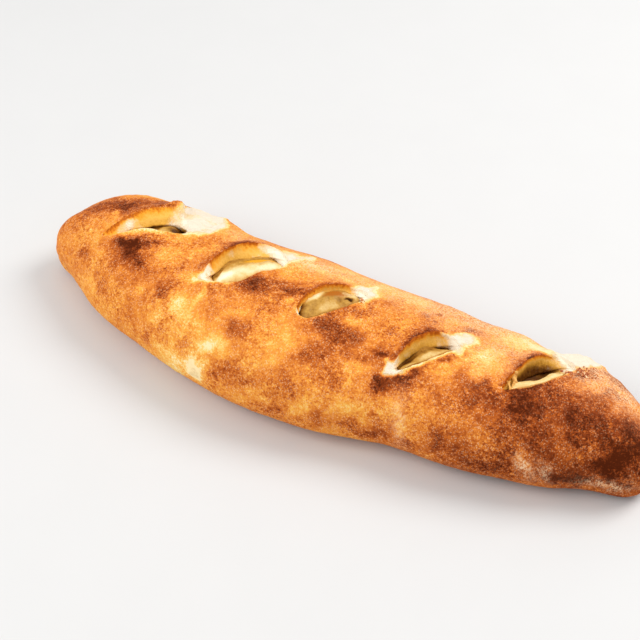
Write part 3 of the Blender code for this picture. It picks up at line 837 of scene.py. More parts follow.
class FinishBook:
    """The nodes of one finish."""

    def __init__(self, name: str) -> None:
        """Starts a finish with its shader and nothing else."""
        self.material = bpy.data.materials.new(name)
        self.material.use_nodes = True
        self.tree = self.material.node_tree
        self.shader = self.tree.nodes["Principled BSDF"]

    @staticmethod
    def _socket(sockets: Items, key: str | int) -> Socket:
        """Finds a socket by number, identifier or name."""
        if isinstance(key, int):
            return sockets[key]
        found = [s for s in sockets if s.identifier == key]
        return found[0] if found else sockets[key]

    def add(self, kind: str, settings: Settings, inputs: Inputs) -> bpy.types.Node:
        """Adds any node.

        Args:
            kind: The node's type.
            settings: Its own settings, set first.
            inputs: Values or links of its sockets, by name, identifier or number.

        Returns:
            The new node.
        """
        node = self.tree.nodes.new(kind)
        for key, value in settings.items():
            setattr(node, key, value)
        for key, value in inputs.items():
            self.feed(self._socket(node.inputs, key), value)
        return node

    def signal(
        self, kind: str, settings: Settings, inputs: Inputs, output: str | int = 0
    ) -> Signal:
        """Adds any node, as add does, and gives one of its outputs as a signal."""
        return Signal(self, self.add(kind, settings, inputs).outputs[output])

    def feed(self, socket: Socket, value: object) -> None:
        """Links a signal or socket to a socket, or sets its value."""
        if isinstance(value, Signal):
            value = value.socket
        if isinstance(value, Socket):
            self.tree.links.new(value, socket)
        elif isinstance(value, tuple) and len(value) == 3 and socket.type == "RGBA":
            socket.default_value = (*value, 1.0)
        else:
            socket.default_value = value

    def coordinates(self, stretch: Triple = (1.0, 1.0, 1.0)) -> Socket:
        """Places on the piece, stretched along its axes."""
        place = self.add("ShaderNodeTexCoord", {}, {}).outputs["Object"]
        settings = {"operation": "MULTIPLY"}
        return self.add("ShaderNodeVectorMath", settings, {0: place, 1: stretch}).outputs[0]

    def value(self, name: str) -> Signal:
        """Numbers stored on the mesh under a name."""
        return self.signal("ShaderNodeAttribute", {"attribute_name": name}, {}, "Fac")

    def noise(
        self, place: Socket, size_mm: float, detail: float = 2.0, warp: float = 0.0
    ) -> Signal:
        """Cloudy unevenness around one half, with grains of about a size."""
        inputs = {"Vector": place, "Scale": 1 / (size_mm * MM), "Detail": detail}
        inputs |= {"Roughness": 0.6, "Distortion": warp}
        return self.signal("ShaderNodeTexNoise", {"noise_dimensions": "3D"}, inputs, "Fac")

    def specks(self, place: Socket, size_mm: float, reach: float) -> Signal:
        """Small specks, 1 in their middles and 0 between them."""
        inputs = {"Vector": place, "Scale": 1 / (size_mm * MM)}
        distance = self.signal("ShaderNodeTexVoronoi", {"feature": "F1"}, inputs, "Distance")
        return distance.step(reach, reach * 0.4)

    def ramp(self, value: Signal, stops: Stops) -> Socket:
        """Colours along a ramp, from the places and colours of its stops."""
        node = self.add("ShaderNodeValToRGB", {}, {"Fac": value.clamped()})
        elements = node.color_ramp.elements
        while len(elements) < len(stops):
            elements.new(0.5)
        for element, (position, colour) in zip(elements, stops):
            element.position, element.color = position, (*colour, 1.0)
        return node.outputs["Color"]

    def mix(self, share: Signal, first: object, second: object) -> Socket:
        """Mixes two colours by a share."""
        settings = {"data_type": "RGBA", "clamp_factor": True}
        inputs = {"Factor_Float": share, "A_Color": first, "B_Color": second}
        node = self.add("ShaderNodeMix", settings, inputs)
        return self._socket(node.outputs, "Result_Color")

    def bump(self, height: Signal, depth_mm: float, strength: float) -> Socket:
        """Small relief from a height."""
        inputs = {"Height": height, "Distance": depth_mm * MM, "Strength": strength}
        return self.add("ShaderNodeBump", {}, inputs).outputs["Normal"]

    def finish(
        self, colour: object, rough: Signal | float, shine: float = 0.5, relief: object = None
    ) -> Material:
        """Feeds the shader and gives the material.

        Args:
            colour: The base colour.
            rough: The roughness.
            shine: The strength of the sheen that isn't coloured.
            relief: The normal, where there is small relief.

        Returns:
            The finished material.
        """
        sockets = {"Base Color": colour, "Roughness": rough, "Specular IOR Level": shine}
        if relief is not None:
            sockets["Normal"] = relief
        for name, value in sockets.items():
            self.feed(self.shader.inputs[name], value)
        return self.material


@dataclass(frozen=True)
class BakedCrust:
    """Mottled baked crust with bare dough, cut walls and flour; sizes are in millimetres.

    The cut walls carry painted shade that darkens downwards; the flour also lays a painted sheen
    along the rear strip, and its pale specks are partly painted glints.
    """

    name: str = "baked_crust"
    browning: Stops = (
        (0.00, tint(248, 224, 170)), (0.14, tint(246, 200, 110)), (0.30, tint(240, 164, 68)),
        (0.46, tint(222, 132, 53)), (0.62, tint(186, 95, 36)), (0.80, tint(134, 59, 23)),
        (1.00, tint(80, 31, 10)),
    )
    # Colours down a cut wall: the browned lip edge, golden dough, then painted shade darkening deep in
    # the slash
    wall: Stops = (
        (0.00, tint(156, 72, 18)), (0.10, tint(206, 112, 28)), (0.20, tint(242, 164, 52)),
        (0.36, tint(242, 187, 90)), (0.60, tint(211, 155, 60)), (0.80, tint(146, 98, 36)),
        (1.00, tint(92, 52, 16)),
    )
    bare: Colour = tint(236, 221, 200)
    bare_shade: Colour = tint(240, 208, 152)
    # A lighter copy of the bare dough for inside the slashes: painted light where the walls lie in shade
    bare_inside: Colour = tint(252, 240, 216)
    # Flour colour, also used for the painted sheen of the rear strip and the painted glint specks
    flour: Colour = tint(247, 212, 170)
    cloud_size: float = 6.0
    curd_size: float = 2.4
    grain_size: float = 1.1
    patch_size: float = 18.0
    speck_size: float = 1.0
    scratch_size: float = 0.8
    streak_size: float = 1.3
    relief_depth: float = 0.50
    shine: float = 0.02

    def make(self) -> Material:
        """Builds the material."""
        book = FinishBook(self.name)
        place = book.coordinates()
        cloud = book.noise(place, self.cloud_size, 4.0, 0.5)
        curd = book.noise(place, self.curd_size, 3.0, 0.9)
        grain = book.noise(place, self.grain_size, 1.0, 0.6)
        roughness = book.noise(place, self.patch_size, 2.0).step(0.35, 0.65)
        bake = book.value("bake")
        browned = bake + (cloud - 0.5) * 0.30 + (curd - 0.5) * (roughness * 0.30 + 0.34)
        browned = browned + (grain - 0.5) * (roughness * 0.34 + 0.36)
        specks = book.specks(place, self.speck_size, 0.46) * curd.step(0.62, 0.44)
        nearly_bare = book.value("raw").step(0.02, 0.42)
        browned = browned - specks * bake.step(0.45, 0.85) * 0.14 - nearly_bare * 0.34
        skin = book.ramp(browned, self.browning)
        stretched = book.coordinates((1.2, 0.9, 1.0))
        # Pale specks, partly flour dust and partly painted glints of light
        dust_and_glints = book.specks(stretched, self.speck_size, 0.46) * curd.step(0.62, 0.42)
        skin = book.mix(dust_and_glints * bake.step(1.05, 0.60) * 0.42, skin, self.flour)
        scratches = book.noise(book.coordinates((1.0, 1.0, 0.45)), self.scratch_size, 2.0, 0.6)
        # Flour, with the painted sheen along the rear strip
        floury = book.value("floury") * (scratches.step(0.44, 0.58) * 0.70 + 0.06)
        skin = book.mix(floury, skin, self.flour)

        raw = book.value("raw") + (curd - 0.5) * 0.55 + (grain - 0.5) * 0.45
        shaded = (cloud.step(0.54, 0.80) * 0.7 + raw.step(0.92, 0.50)).clamped()
        bare = book.mix(shaded, self.bare, self.bare_shade)
        colour = book.mix(raw.step(0.32, 0.66), skin, bare)

        streaks = book.noise(book.coordinates((1.0, 1.0, 0.22)), self.streak_size, 3.0)
        # The cut value grows with depth in a slash and carries the wall's painted shade
        cut = book.value("cut") + (streaks - 0.5) * 0.34 + (cloud - 0.5) * 0.30
        cut = cut + (nearly_bare * 0.32 - cut).clamped()
        # Bare dough on the walls takes the lighter copy, painted light against the slash's shade
        wall = book.mix(raw.step(0.10, 1.0), book.ramp(cut, self.wall), self.bare_inside)
        colour = book.mix(book.value("inside").step(0.30, 0.70), colour, wall)

        relief = grain * 0.7 + curd * (0.6 + raw.step(0.4, 0.8) * 1.6)
        rough = 0.56 + raw.step(0.3, 0.7) * 0.16 + (grain - 0.5) * 0.30 - bake * 0.06
        normal = book.bump(relief, self.relief_depth, 0.75)
        return book.finish(colour, rough.clamped(), self.shine, normal)


@dataclass(frozen=True)
class MeltedFilling:
    """Soft melted cheese, cream on its swells, with painted olive-gold shade in its hollows."""

    name: str = "melted_cheese"
    # The ramp's dark end is painted shade deep in the slashes
    body: Stops = (
        (0.00, tint(84, 46, 12)), (0.20, tint(134, 86, 24)), (0.42, tint(197, 148, 68)),
        (0.64, tint(231, 201, 136)), (0.84, tint(246, 230, 190)), (1.00, tint(247, 240, 214)),
    )
    grease: Colour = tint(226, 160, 34)
    toast: Colour = tint(174, 99, 20)
    cloud_size: float = 4.0
    curd_size: float = 1.2
    relief_depth: float = 0.40
    shine: float = 0.16

    def make(self) -> Material:
        """Builds the material."""
        book = FinishBook(self.name)
        place = book.coordinates()
        cloud = book.noise(place, self.cloud_size, 3.0, 0.4)
        curd = book.noise(place, self.curd_size, 3.0)
        colour = book.ramp(
            book.value("light") + (cloud - 0.5) * 0.44 + (curd - 0.5) * 0.20, self.body
        )
        toast = (book.value("toast") + (curd - 0.5) * 0.9 + (cloud - 0.5) * 0.6).step(0.15, 0.95)
        grease = (book.value("grease") + (curd - 0.5) * 0.5).step(0.15, 1.00)
        colour = book.mix(grease, book.mix(toast, colour, self.toast), self.grease)
        rough = 0.46 - grease * 0.24 + (curd - 0.5) * 0.2
        normal = book.bump(cloud * 0.8 + curd * 0.4, self.relief_depth, 0.5)
        return book.finish(colour, rough.clamped(), self.shine, normal)


@dataclass(frozen=True)
class BareDough:
    """Stretched dough, stained by the filling."""

    name: str = "stretched_dough"
    light: Colour = tint(232, 176, 92)
    deep: Colour = tint(176, 108, 38)
    curd_size: float = 1.6
    grain_size: float = 0.7
    relief_depth: float = 0.25
    shine: float = 0.30

    def make(self) -> Material:
        """Builds the material."""
        book = FinishBook(self.name)
        place = book.coordinates()
        curd = book.noise(place, self.curd_size, 3.0)
        colour = book.mix(curd.step(0.40, 0.72), self.light, self.deep)
        rough = 0.62 + (curd - 0.5) * 0.2
        normal = book.bump(book.noise(place, self.grain_size, 2.0), self.relief_depth, 0.5)
        return book.finish(colour, rough.clamped(), self.shine, normal)


@dataclass(frozen=True)
class CrumbCrust:
    """Small browned and pale crumbs."""

    name: str = "crumb_crust"
    stops: Stops = (
        (0.36, tint(250, 222, 176)), (0.46, tint(206, 120, 52)), (0.58, tint(150, 66, 26)),
    )
    spot_size: float = 1.6
    rough: float = 0.7

    def make(self) -> Material:
        """Builds the material."""
        book = FinishBook(self.name)
        spots = book.noise(book.coordinates(), self.spot_size, 2.0)
        return book.finish(book.ramp(spots, self.stops), self.rough)


@dataclass(frozen=True)
class PaleFloor:
    """Matt pale floor of the studio."""

    name: str = "pale_floor"
    light: Colour = tint(216, 216, 216)
    shade: Colour = tint(215, 215, 215)
    cloud_size: float = 60.0
    rough: float = 0.6

    def make(self) -> Material:
        """Builds the material."""
        book = FinishBook(self.name)
        cloud = book.noise(book.coordinates(), self.cloud_size, 3.0)
        return book.finish(book.mix(cloud.step(0.3, 0.7), self.light, self.shade), self.rough)


# ---- Sub-assemblies ----


def plain_tag(name: str) -> Material:
    """A material that only tells bodies apart while they are combined."""
    return bpy.data.materials.get(name) or bpy.data.materials.new(name)


@dataclass(frozen=True)
class SlashLook:
    """How one slash is coloured.

    The front edge is the pale band's width in millimetres, with how bare and how much paler it is;
    the tone is how soon the painted shade on its wall darkens, the band how thin the brown band on
    its lip is, and shoals are the shares that are bare at its ends. The lip's browning fades from a
    fraction on and reaches some millimetres back from the lip. Cream is how bare its wall is.
    """

    front_edge: float
    front_bare: float
    front_pale: float
    tone: float
    band: float
    shoals: Range
    lip_brown: float
    lip_end: float = 0.95
    lip_reach: float = 3.6
    cream: float = -1.0


SLASH_LOOKS = {
    "slash_1": SlashLook(3.8, 0.28, 0.24, 0.70, 0.82, (0.001, 0.04), 0.30, cream=0.18),
    "slash_2": SlashLook(0.9, 0.40, 0.20, 0.64, 0.88, (0.14, 0.17), 0.42, 0.98, 4.4, 0.00),
    "slash_3": SlashLook(0.7, 0.40, 0.16, 0.70, 0.60, (0.02, 0.14), 0.30, 0.80, 3.0, 0.20),
    "slash_4": SlashLook(1.6, 0.45, 0.20, 0.84, 0.95, (0.16, 0.12), 0.46, 0.80, 4.0, 0.02),
    "slash_5": SlashLook(0.9, 0.40, 0.20, 1.20, 0.98, (0.01, 0.12), 0.46, 0.55, 3.4),
}


@dataclass
class Coat:
    """What the crust's finish reads: one number of each kind for each vertex."""

    bake: Array
    raw: Array
    floury: Array
    cut: Array
    inside: Array

    def bare(self, amount: Array) -> None:
        """Makes the crust at least as bare as an amount."""
        self.raw = np.maximum(self.raw, amount)


@dataclass
class SlashPainter:
    """Colours the lips, the wall and the ends of one slash."""

    crust: "Crust"
    slash: Slash
    points: Array
    height: Array
    # Bare streaks on a sunk slash's wall: how much, fraction along it and half length
    streaks: Rows = ((0.42, 0.28, 0.06), (0.42, 0.80, 0.08), (-0.38, 0.46, 0.11))

    def __post_init__(self) -> None:
        """Finds where the points are on the slash."""
        self.look = SLASH_LOOKS[self.slash.name]
        self.fraction, self.across, self.behind, self.ahead = self.slash.measure(self.points)
        self.on_it = (self.fraction > -0.03) & (self.fraction < 1.03)
        self.wide = self.on_it & (self.ahead < 0.001) & (self.behind < 0.003)
        rear = self.slash.rear_edge(self.fraction)
        self.down = self.crust.lip_height(self.slash, self.fraction, rear) - self.height

    def uneven(self, wavelength: float, seed: int, octaves: int = 1) -> Array:
        """Unevenness at the points."""
        return Unevenness(wavelength, seed, octaves).at(self.points)

    def paint(self, coat: Coat) -> None:
        """Changes a coat where the slash is."""
        self.paint_rear_lip(coat)
        self.paint_front_lip(coat)
        self.paint_wall(coat)
        self.paint_ends(coat)

    def paint_rear_lip(self, coat: Coat) -> None:
        """Browns the curled lip and takes the flour off it."""
        reach = self.look.lip_reach * MM * (1 + 0.35 * self.uneven(0.0060, 38))
        shown = self.slash.fade(self.fraction) * self.on_it
        shown = shown * (self.behind > -0.0005) * hill(self.behind / reach)
        if self.slash.name == self.crust.tear.slash:
            shown = shown * (1 - self.crust.tear.beyond(self.points))
        coat.bake += self.look.lip_brown * shown * ease(self.fraction, 1.1, self.look.lip_end)
        coat.floury = coat.floury * (1 - 0.9 * shown)

    def paint_front_lip(self, coat: Coat) -> None:
        """Lays the pale band along the front lip."""
        taper = np.sin(math.pi * np.clip(self.fraction, 0.0, 1.0)) ** 0.6
        edge = 0.0002 + self.look.front_edge * MM * taper
        pale = (self.ahead > -0.0008) * ease(self.ahead / edge, 1.3, 0.7) * (taper > 0.25)
        if self.slash.sunk:
            pale = pale * (0.06 + 0.94 * hill((self.fraction - 0.57) / 0.18))
        coat.bare(self.look.front_bare * pale)
        coat.bake -= self.look.front_pale * pale

    def paint_wall(self, coat: Coat) -> None:
        """Paints shade on the cut wall, darker downwards, and leaves cream streaks of bare dough on it.
        """
        # Painted shade: the wall darkens the deeper it lies below the lip
        below = self.look.tone * (np.maximum(self.down, 0) / 0.010) ** self.look.band
        below = np.maximum(below, 0.32 * hill(self.ahead / 0.0016))
        coat.cut = np.where(self.wide, below, coat.cut)
        cream = self.look.cream + 0.46 * self.uneven(0.0075, 36, 2)
        if self.slash.sunk:
            self.paint_sunk(coat)
            for amount, place, half_length in self.streaks:
                cream += amount * hill((self.fraction - place) / half_length)
        on_wall = self.wide * (self.behind < 0) * (coat.inside > 0.5)
        coat.bare(cream * ease(self.down, 0.0010, 0.0026) * on_wall)

    def paint_sunk(self, coat: Coat) -> None:
        """Bares the torn side of a sunk slash and paints shade on what lies deep in it."""
        tear, points = self.crust.tear, self.points
        coat.inside = np.maximum(coat.inside, self.slash.covers(self.fraction, self.across, 0.0005))
        torn = ease(tear.beyond_distance(points), -0.0060, 0.0030)
        torn = torn * ease(tear.reach(points), 1.25, 0.9)
        coat.bare(1.1 * torn * self.wide * (self.behind < 0))
        # Painted shade deep in the sunk slash: no bare dough down there and a darker wall
        deep = self.wide * ease(-self.height, 0.0040, 0.0056)
        coat.raw = coat.raw * (1 - deep)
        coat.cut = coat.cut + 0.22 * deep

    def paint_ends(self, coat: Coat) -> None:
        """Bares the shoaling ends of the slash."""
        left, right = self.look.shoals
        whole = np.minimum(self.fraction / left, (1 - self.fraction) / right)
        whole = whole + 0.35 * self.uneven(0.0042, 39, 2)
        coat.bare(self.wide * ease(whole, 1.7, 0.30) * (coat.inside > 0.5))


@dataclass
class Crust:
    """The baked dough shell with its open slashes."""

    roll: Roll
    tear: Tear
    slashes: Sequence[Slash]
    wall: float = 0.008
    rings: int = 372
    columns: int = 204
    crowding: float = 0.45
    hollow_rings: int = 60
    hollow_columns: int = 40
    underside_share: float = 0.10
    underside_level: float = -0.0008
    girth_samples: int = 4001
    lip_reach: float = 0.0070
    front_lip_rise: float = 0.0012
    front_lip_reach: float = 0.0050
    shoal_depth: float = 0.0014
    shoal_length: float = 0.0060
    # Shoals: fraction along a slash; then, in metres, the middle across it and the half width
    shoal_spots: Rows = ((0.05, 0.0, 0.0042), (0.93, 0.0015, 0.0046))
    headroom: float = 0.012
    cut_stations: int = 130
    floor_softness: float = 0.0005
    # Where reliefs fade out: below the surface, above the tips' level and along the roll
    outside_depths: Range = (0.004, 0.002)
    top_fade: float = 0.004
    end_places: Range = (0.985, 0.93)
    bare_marks: Range = (0.25, 0.8)
    patch_bareness: float = 0.5
    blister_radii: Range = (0.0012, 0.0034)
    blister_heights: Range = (0.05, 0.13)
    swells: Rows = (
        (-0.16, 0.004, 0.02, 0.001), (-0.098, 0.046, 0.015, 0.0022), (-0.092, -0.02, 0.02, -0.0014),
        (-0.076, 0.046, 0.01, -0.0014), (-0.028, -0.03, 0.026, 0.0014), (-0.024, 0.034, 0.018, 0.0012),
        (0.032, 0.022, 0.022, 0.001), (0.03, -0.034, 0.024, -0.0012), (0.088, -0.022, 0.022, 0.0012),
        (0.097, 0.046, 0.015, 0.0022), (0.118, 0.043, 0.011, -0.0018), (0.138, 0.034, 0.014, 0.0016),
        (0.132, 0.036, 0.009, 0.002), (0.15, -0.01, 0.024, 0.0012),
    )
    # Creases of stretched dough: X and girth of both ends, half width and height, in millimetres
    creases: Rows = (
        (-73, 109, -88, 136, 1.6, 0.45), (-66, 106, -69, 128, 1.3, 0.4),
        (-118, 92, -147, 118, 2.2, -0.5), (-173, 143, -157, 172, 1.3, -0.35),
        (-169, 128, -148, 153, 1.4, -0.3), (-176, 120, -160, 146, 1.3, 0.3),
        (84, 86, 103, 84, 1.8, 0.5), (102, 100, 90, 124, 2.2, -0.45), (15, 76, 33, 87, 2, -0.35),
        (-86, 60, -72, 84, 1.8, 0.4), (128, 96, 142, 118, 2.4, 0.4), (150, 84, 168, 104, 2.2, -0.35),
        (-114, 58, -92, 44, 2, 0.55), (-106, 66, -88, 56, 1.5, -0.45), (-103, 76, -86, 70, 1.6, 0.45),
    )
    pleat_count: int = 7
    pleat_depth: float = 0.0006
    pleat_start: float = 0.86
    blister_count: int = 150
    blister_seed: int = 41
    grain: Layers = (
        (0.00030, Unevenness(0.020, 3)),
        (0.00016, Unevenness(0.007, 4, 2)),
        (0.00005, Unevenness(0.0024, 6)),
    )
    puff: Layers = ((0.00070, Unevenness(0.0046, 14, 2)), (0.00022, Unevenness(0.0018, 15)))
    puff_rise: float = 0.0004
    crease_sway: float = 0.0012
    # A slash's body, in metres: how far behind the rear lip and above it; how far behind the front
    # lip and what share of the gap's depth; how far behind the front lip and above it
    rear_lip: Rows = ((0.0040, 0.0120), (0.0016, 0.0010), (0.0008, 0.0001))
    front_wall: Rows = ((0.0006, 0.96), (0.0005, 0.6), (0.0002, 0.25))
    front_lip: Rows = ((0.0, -0.0004), (-0.0004, 0.0005), (-0.0012, 0.0013), (-0.0030, 0.0120))
    least_gap: float = 0.0003
    lip_radius: float = 0.0005
    lip_sway: float = 0.00045
    wobble: Unevenness = Unevenness(0.0050, 21, 2)
    cut_start: float = 0.04
    open_depth: float = 0.003
    wall_rows: int = 12
    wall_hollow: float = 0.0006
    wall_start: float = 0.00025
    undercut: Range = (0.0009, 0.0012)
    floor_shares: Sequence[float] = (0.3, 0.6, 0.85)
    # Browning: how much, and where along X it rises from nothing to that
    plain_bake: float = 0.44
    bake_slopes: Rows = ((0.23, 0.020, 0.150), (0.05, -0.140, -0.170), (-0.05, -0.05, -0.12))
    # Browner near the floor: the underside's own browning, partly painted contact shadow
    underside_bake: float = 0.20
    bake_clouds: Layers = ((0.05, Unevenness(0.030, 31)), (0.09, Unevenness(0.012, 32, 3)))
    char_weight: float = 0.49
    pale_weight: float = 0.40
    halo_weight: float = 0.16

    def build(self) -> Piece:
        """Builds the crust, carves it and stores what its finish reads."""
        skin = self.outer_form()
        tools = [self.hollow_form()] + [self.slash_form(slash) for slash in self.slashes]
        for piece, name in [(skin, "skin")] + [(tool, "cut") for tool in tools]:
            piece.data.materials.append(plain_tag(name))
        crust = combine("crust_baked", skin, "DIFFERENCE", tools)
        split_large_faces(crust)
        inside = share_from_slot(crust, 1)
        soften(crust, rim_of(crust, inside, 1) * self.near_outside(read_points(crust)), 3)
        crust.data.shade_smooth()
        self.paint(crust, inside)
        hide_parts("crust")
        dress(crust, BakedCrust().make())
        return crust

    def near_outside(self, points: Array) -> Array:
        """1 close to the outer surface and 0 deep in the slashes."""
        return ease(-self.roll.proud(points), *self.outside_depths)

    def marked(self, kind: MarkKind, points: Array, **changes: float) -> Array:
        """How strongly one kind of mark shows at points, with any changes to its edges."""
        return replace(MARKS[kind], **changes).field(self.roll, points)

    def placed(self, slash: Slash, fraction: Array, across: Array, height: Array | float) -> Array:
        """Points at places of a slash, some height above the plain upper surface."""
        x, y = slash.plan_point(fraction, across)
        return np.stack([x, y, self.roll.top_height(x, y) + height], -1)

    def places(self, rings: int) -> Array:
        """Places of rings along the roll, closer together at its ends."""
        latitude = np.linspace(-1, 1, rings + 2)[1:-1] * math.pi / 2
        return (1 - self.crowding) * latitude / (math.pi / 2) + self.crowding * np.sin(latitude)

    def girths(self, columns: int, underside_share: float) -> Array:
        """Angles round the roll, evenly spaced except on the underside, where few are needed."""
        dense = np.linspace(-90, 270, self.girth_samples)
        line = self.roll.surface(np.zeros(self.girth_samples), dense)
        steps = np.linalg.norm(np.diff(line, axis=0), axis=1)
        steps *= np.where(line[1:, 2] < self.underside_level, underside_share, 1.0)
        distance = np.concatenate([[0], np.cumsum(steps)])
        wanted = np.linspace(0, distance[-1], columns, endpoint=False)
        return np.interp(wanted, distance, dense)

    def rolled(self, rings: int, columns: int, inset: float, underside_share: float) -> Array:
        """Points in rings over the roll, at a depth, with a share of them on the underside."""
        place, girth = self.places(rings)[:, None], self.girths(columns, underside_share)
        return self.roll.surface(place, girth, inset)

    def settle(self, points: Array, level: float) -> Array:
        """Flattens what is below a level on to it, with a small soft edge."""
        height = points[..., 2] - level
        soft = self.floor_softness
        settled = points.copy()
        settled[..., 2] = level + 0.5 * (height + np.sqrt(height**2 + soft**2))
        return settled

    def outer_form(self) -> Piece:
        """The outer form, with all its relief, as a closed body."""
        grid = self.rolled(self.rings, self.columns, 0.0, self.underside_share)
        wrapped = np.concatenate([grid[:, -1:], grid, grid[:, :1]], axis=1)
        round_it = np.gradient(wrapped, axis=1)[:, 1:-1]
        normals = unit(np.cross(round_it, np.gradient(grid, axis=0))).reshape(-1, 3)
        flat = grid.reshape(-1, 3)
        outward = np.sign((normals * (flat - flat.mean(0))).sum(1).mean())
        lifted = flat + outward * normals * self.relief(flat)[:, None]
        return loft("skin", self.settle(lifted, 0.0).reshape(grid.shape))

    def hollow_form(self) -> Piece:
        """The space inside the shell, as a closed body."""
        grid = self.rolled(self.hollow_rings, self.hollow_columns, self.wall, 1.0)
        return loft("hollow", self.settle(grid, self.wall))

    def relief(self, points: Array) -> Array:
        """How far the crust stands proud of the plain roll at points of it."""
        place = np.abs(points[:, 0]) / (self.roll.length / 2)
        top = ease(points[:, 2], self.roll.tip_height, self.roll.tip_height + self.top_fade)
        end_fade = ease(place, *self.end_places)
        total = self.pleats(points, place) + layered(self.grain, points) * end_fade
        total += top * (self.lips(points) + self.swell(points) - self.tear.recess(points))
        total += top * end_fade * (self.crease(points) + self.blisters(points))
        bare = ease(self.marked(MarkKind.RAW, points), *self.bare_marks)
        patch = self.tear.beyond(points) * (self.tear.reach(points) < 1)
        bare = np.maximum(bare, self.patch_bareness * patch)
        return total + top * bare * (layered(self.puff, points) + self.puff_rise)

    def lips(self, points: Array) -> Array:
        """Rise of the crust beside the slashes, and its fall where a slash is sunk or shoals."""
        rise, fall = np.zeros(len(points)), np.zeros(len(points))
        for slash in self.slashes:
            fraction, across, behind, ahead = slash.measure(points)
            near = (fraction > -0.25) & (fraction < 1.25)
            curl = np.where(behind > 0, hill(behind / self.lip_reach), 1.0)
            lip = slash.rise * slash.fade(fraction) * curl * (behind > -self.lip_reach)
            if slash.name == self.tear.slash:
                raised = np.maximum(lip, 0) + self.tear.corner(points)
                lip = np.where(behind > -0.001, raised, lip) * (1 - self.tear.beyond(points))
            low = self.front_lip_rise * slash.fade(fraction) * hill(ahead / self.front_lip_reach)
            low = np.where(ahead > -self.front_lip_reach, low, 0)
            if slash.sunk:
                low = np.where(ahead > 0, low, low * hill(ahead / 0.002))
                share = np.clip(-behind / (slash.rear_edge(fraction) - slash.foot(fraction)), 0, 1)
                depth = slash.row(fraction, 3) + np.where(behind < 0, lip, 0)
                open_slash = (fraction > 0) & (fraction < 1) & (behind < 0) & (ahead < 0)
                fall += np.where(open_slash, depth * share**0.85 * ease(-ahead, 0, 0.002), 0)
            rise = np.maximum(rise, np.where(near, np.maximum(lip, low), 0))
            fall += np.where(near, self.shoals(slash, fraction, across), 0)
        return rise - fall

    def shoals(self, slash: Slash, fraction: Array, across: Array) -> Array:
        """How much the crust sinks towards both ends of a slash that isn't sunk itself."""
        total = 0 * across
        for place, middle, half_width in self.shoal_spots:
            along = (fraction - place) * (2 * slash.half_length) / self.shoal_length
            total = total + hill(np.hypot(along, (across - middle) / half_width))
        return total * (0.0 if slash.sunk else self.shoal_depth)

    def swell(self, points: Array) -> Array:
        """Low swells and dents of the crust."""
        total = np.zeros(len(points))
        for x, y, radius, height in self.swells:
            total += height * hill(np.hypot(points[:, 0] - x, points[:, 1] - y) / radius)
        return total

    def pleats(self, points: Array, place: Array) -> Array:
        """Pleats of the gathered dough at the ends."""
        share = np.clip((place - self.pleat_start) / (1 - self.pleat_start), 0, 1)
        half = np.clip(points[:, 0] / (self.roll.length / 2), -1, 1)
        centre = read_rows(self.roll.plan, 2, half)
        turn = np.arctan2(points[:, 2] - self.roll.tip_height, points[:, 1] - centre)
        return self.pleat_depth * np.sin(math.pi * share) * np.cos(self.pleat_count * turn)

    def crease(self, points: Array) -> Array:
        """Creases where the dough was stretched."""
        total = np.zeros(len(points))
        bent = points + self.crease_sway * Unevenness(0.009, 12).around(points)
        for x1, girth1, x2, girth2, width, height in self.creases:
            first = self.roll.at(x1, girth1)
            line = self.roll.at(x2, girth2) - first
            share = np.clip((bent - first) @ line / (line @ line), 0, 1)
            away = np.linalg.norm(bent - first - share[:, None] * line, axis=1)
            taper = np.sin(math.pi * np.clip(0.08 + 0.84 * share, 0, 1))
            total += height * MM * taper * hill(away / (width * MM))
        return total

    def blisters(self, points: Array) -> Array:
        """Small blisters that the dough's gas raised."""
        draw = np.random.default_rng(self.blister_seed)
        half = self.roll.length / 2
        total = np.zeros(len(points))
        for _ in range(self.blister_count):
            place, girth = draw.uniform(-0.92, 0.92), draw.uniform(15, 178)
            radius = draw.uniform(*self.blister_radii)
            height = radius * draw.uniform(*self.blister_heights)
            middle = self.roll.surface(np.array(place), np.array(girth))
            close = np.abs(points[:, 0] - place * half) < 3 * radius
            away = np.linalg.norm(points[close] - middle, axis=1)
            total[close] += height * hill((away / radius) ** 1.5)
        return total

    def lip_height(self, slash: Slash, fraction: Array, across: Array) -> Array:
        """Height of the rear lip's edge along a slash."""
        lip = slash.rise * slash.fade(fraction) - self.shoals(slash, fraction, across)
        if slash.name == self.tear.slash:
            on_line = self.placed(slash, fraction, across, 0.0)
            lip = (lip + self.tear.corner(on_line)) * (1 - self.tear.beyond(on_line))
            lip = lip - self.tear.recess(on_line)
        return lip

